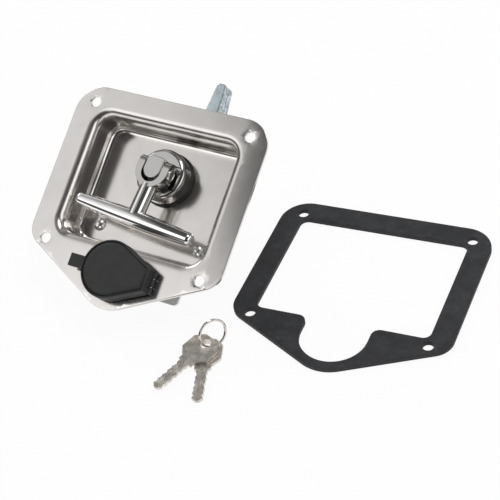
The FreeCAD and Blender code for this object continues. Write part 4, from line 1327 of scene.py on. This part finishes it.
# The window on the left, and how much its inner edge and corner take away from it.
WINDOW = Patch(1.0, x_rise=(-0.93, -0.78), x_fall=(-0.34, -0.24), z_rise=(0.32, 0.48))
WINDOW_EDGE = Patch(0.97, x_rise=(-0.44, -0.40), y_rise=(-0.41, -0.37))
WINDOW_CORNER = Patch(0.75, x_rise=(-0.49, -0.44), y_rise=(-0.315, -0.265))
CEILING = Patch(0.24, x_rise=(-0.30, -0.20), x_fall=(-0.14, 0.02), z_rise=(0.5, 0.8))
RIGHT_WALL = Patch(1.3, x_rise=(0.62, 0.74), z_rise=(0.18, 0.32), z_fall=(0.60, 0.74))
BACK_WALL = Patch(0.8, y_rise=(0.55, 0.75), z_rise=(0.10, 0.25), z_fall=(0.45, 0.65))
FLOOR = Patch(0.85, z_fall=(-0.12, -0.02))


@dataclass
class Studio:
    """Table, backdrop, lamps and camera, in row metres.

    The window's light is window_level. window_front is what is added in front, and window_back
    what is taken away at the back, each with the two y between which that changes. room_light is
    what gloss sees elsewhere, and matt_light what lights matt surfaces.
    """

    eye: tuple[float, float, float] = (0.4376, -0.5179, 0.5432)
    right: tuple[float, float, float] = (0.8687, 0.4759, -0.1372)
    up: tuple[float, float, float] = (-0.2342, 0.6387, 0.7329)
    lens: float = 108.48
    aim: tuple[float, float, float] = (0.05, 0.0, -0.03)
    table_reach: float = 3.0
    table_gap: float = 0.0002
    table_glow: float = 0.93
    window_level: float = 0.76
    window_front: tuple[float, float, float] = (0.55, -0.52, -0.30)
    window_back: tuple[float, float, float] = (0.45, -0.20, 0.25)
    room_light: float = 0.05
    matt_light: float = 0.7

    def build(self) -> None:
        """Builds the studio."""
        self.table()
        self.surroundings()
        self.lamp("top_lamp", place=(0.35, 0.35, 1.3), size=0.5, power=5.0)
        self.lamp("side_lamp", place=(-1.2, 0.5, 0.7), size=0.5, power=4.0)
        self.camera()

    def table(self) -> None:
        """A white table that keeps a faint shadow."""
        height = SPACE.table * MM - self.table_gap
        mesh = bpy.data.meshes.new("table_top")
        reach = self.table_reach
        mesh.from_pydata([(-reach, -reach, height), (reach, -reach, height),
                          (reach, reach, height), (-reach, reach, height)], [], [(0, 1, 2, 3)])
        table = bpy.data.objects.new("table_top", mesh)
        bpy.context.scene.collection.objects.link(table)
        material = bpy.data.materials.new("white_table")
        material.use_nodes = True
        kit = NodeKit(material.node_tree)
        cloud = kit.noise(kit.place(), size=120.0, detail=2.0)
        matt = kit.add("ShaderNodeBsdfDiffuse", {
            "Color": kit.blend(cloud, rgb(0.86, 0.86, 0.86), rgb(0.88, 0.88, 0.88))})
        white = kit.add("ShaderNodeEmission", {"Color": rgb(1, 1, 1), "Strength": 1.0})
        camera, glossy = self.rays(kit)
        mixed = kit.add("ShaderNodeMixShader", {0: camera.most(glossy) * self.table_glow,
                                                1: matt.outputs[0], 2: white.outputs[0]})
        kit.add("ShaderNodeOutputMaterial", {"Surface": mixed.outputs[0]})
        mesh.materials.append(material)

    @staticmethod
    def rays(kit: NodeKit) -> tuple[Signal, Signal]:
        """Whether the camera looks, and whether a gloss does.

        Args:
            kit: the builder.

        Returns:
            1 or 0 for the camera, and 1 or 0 for a gloss.
        """
        path = kit.add("ShaderNodeLightPath")
        return (Signal(kit, path.outputs["Is Camera Ray"]),
                Signal(kit, path.outputs["Is Glossy Ray"]))

    def surroundings(self) -> None:
        """A white backdrop for the camera, and for gloss a dim room with patches of light.

        The main patch is a tall window on the left. It is brightest in front and fades towards
        the back, and its dark inner edge and corner show in the flange's right side.
        """
        world = bpy.data.worlds.new("studio")
        bpy.context.scene.world = world
        world.use_nodes = True
        kit = NodeKit(world.node_tree)
        direction = kit.add("ShaderNodeTexCoord").outputs["Generated"]
        split = kit.add("ShaderNodeSeparateXYZ", {0: direction})
        x, y, z = (Signal(kit, split.outputs[axis]) for axis in range(3))
        more, front_start, front_end = self.window_front
        less, back_start, back_end = self.window_back
        level = (self.window_level + more * (1.0 - y.step(front_start, front_end))
                 - less * y.step(back_start, back_end))
        dark = WINDOW_EDGE.seen(x, y, z).most(WINDOW_CORNER.seen(x, y, z))
        gloss = WINDOW.seen(x, y, z) * level * (1.0 - dark) + self.room_light
        for patch in (CEILING, RIGHT_WALL, BACK_WALL, FLOOR):
            gloss = gloss + patch.seen(x, y, z)
        camera, glossy = self.rays(kit)
        lit = glossy * gloss + (1.0 - glossy) * self.matt_light
        backdrop = kit.add("ShaderNodeBackground", {
            "Color": rgb(1, 1, 1), "Strength": camera + (1.0 - camera) * lit})
        kit.add("ShaderNodeOutputWorld", {"Surface": backdrop.outputs[0]})

    def lamp(self, name: str, place: tuple[float, float, float], size: float, power: float) -> None:
        """A soft box that faces the latch.

        Args:
            name: the lamp's name.
            place: where it hangs, in metres.
            size: length of its side in metres.
            power: its power in watts.
        """
        light = bpy.data.lights.new(name, "AREA")
        light.shape = "SQUARE"
        light.size = size
        light.energy = power
        lamp = bpy.data.objects.new(name, light)
        lamp.location = place
        ahead = Vector(self.aim) - Vector(place)
        lamp.rotation_euler = ahead.to_track_quat("-Z", "Y").to_euler()
        bpy.context.scene.collection.objects.link(lamp)

    def camera(self) -> None:
        """The camera at the photograph's place."""
        data = bpy.data.cameras.new("camera")
        data.lens = self.lens
        data.sensor_width = 36.0
        data.clip_start = 0.01
        camera = bpy.data.objects.new("camera", data)
        right = Vector(self.right).normalized()
        back = right.cross(Vector(self.up)).normalized()
        up = back.cross(right)
        turn = Matrix((right, up, back)).transposed().to_4x4()
        camera.matrix_world = Matrix.Translation(self.eye) @ turn
        bpy.context.scene.collection.objects.link(camera)
        bpy.context.scene.camera = camera


def main() -> None:
    """Builds everything in order."""
    logging.basicConfig(level=logging.INFO, format="%(message)s")
    bpy.context.scene.view_settings.view_transform = "Standard"
    for part in (Dish(), Spindle(), Handle(), Lock(), LoosePieces(), Studio()):
        LOG.info("building %s", type(part).__name__)
        part.build()


if __name__ == "__main__":
    main()
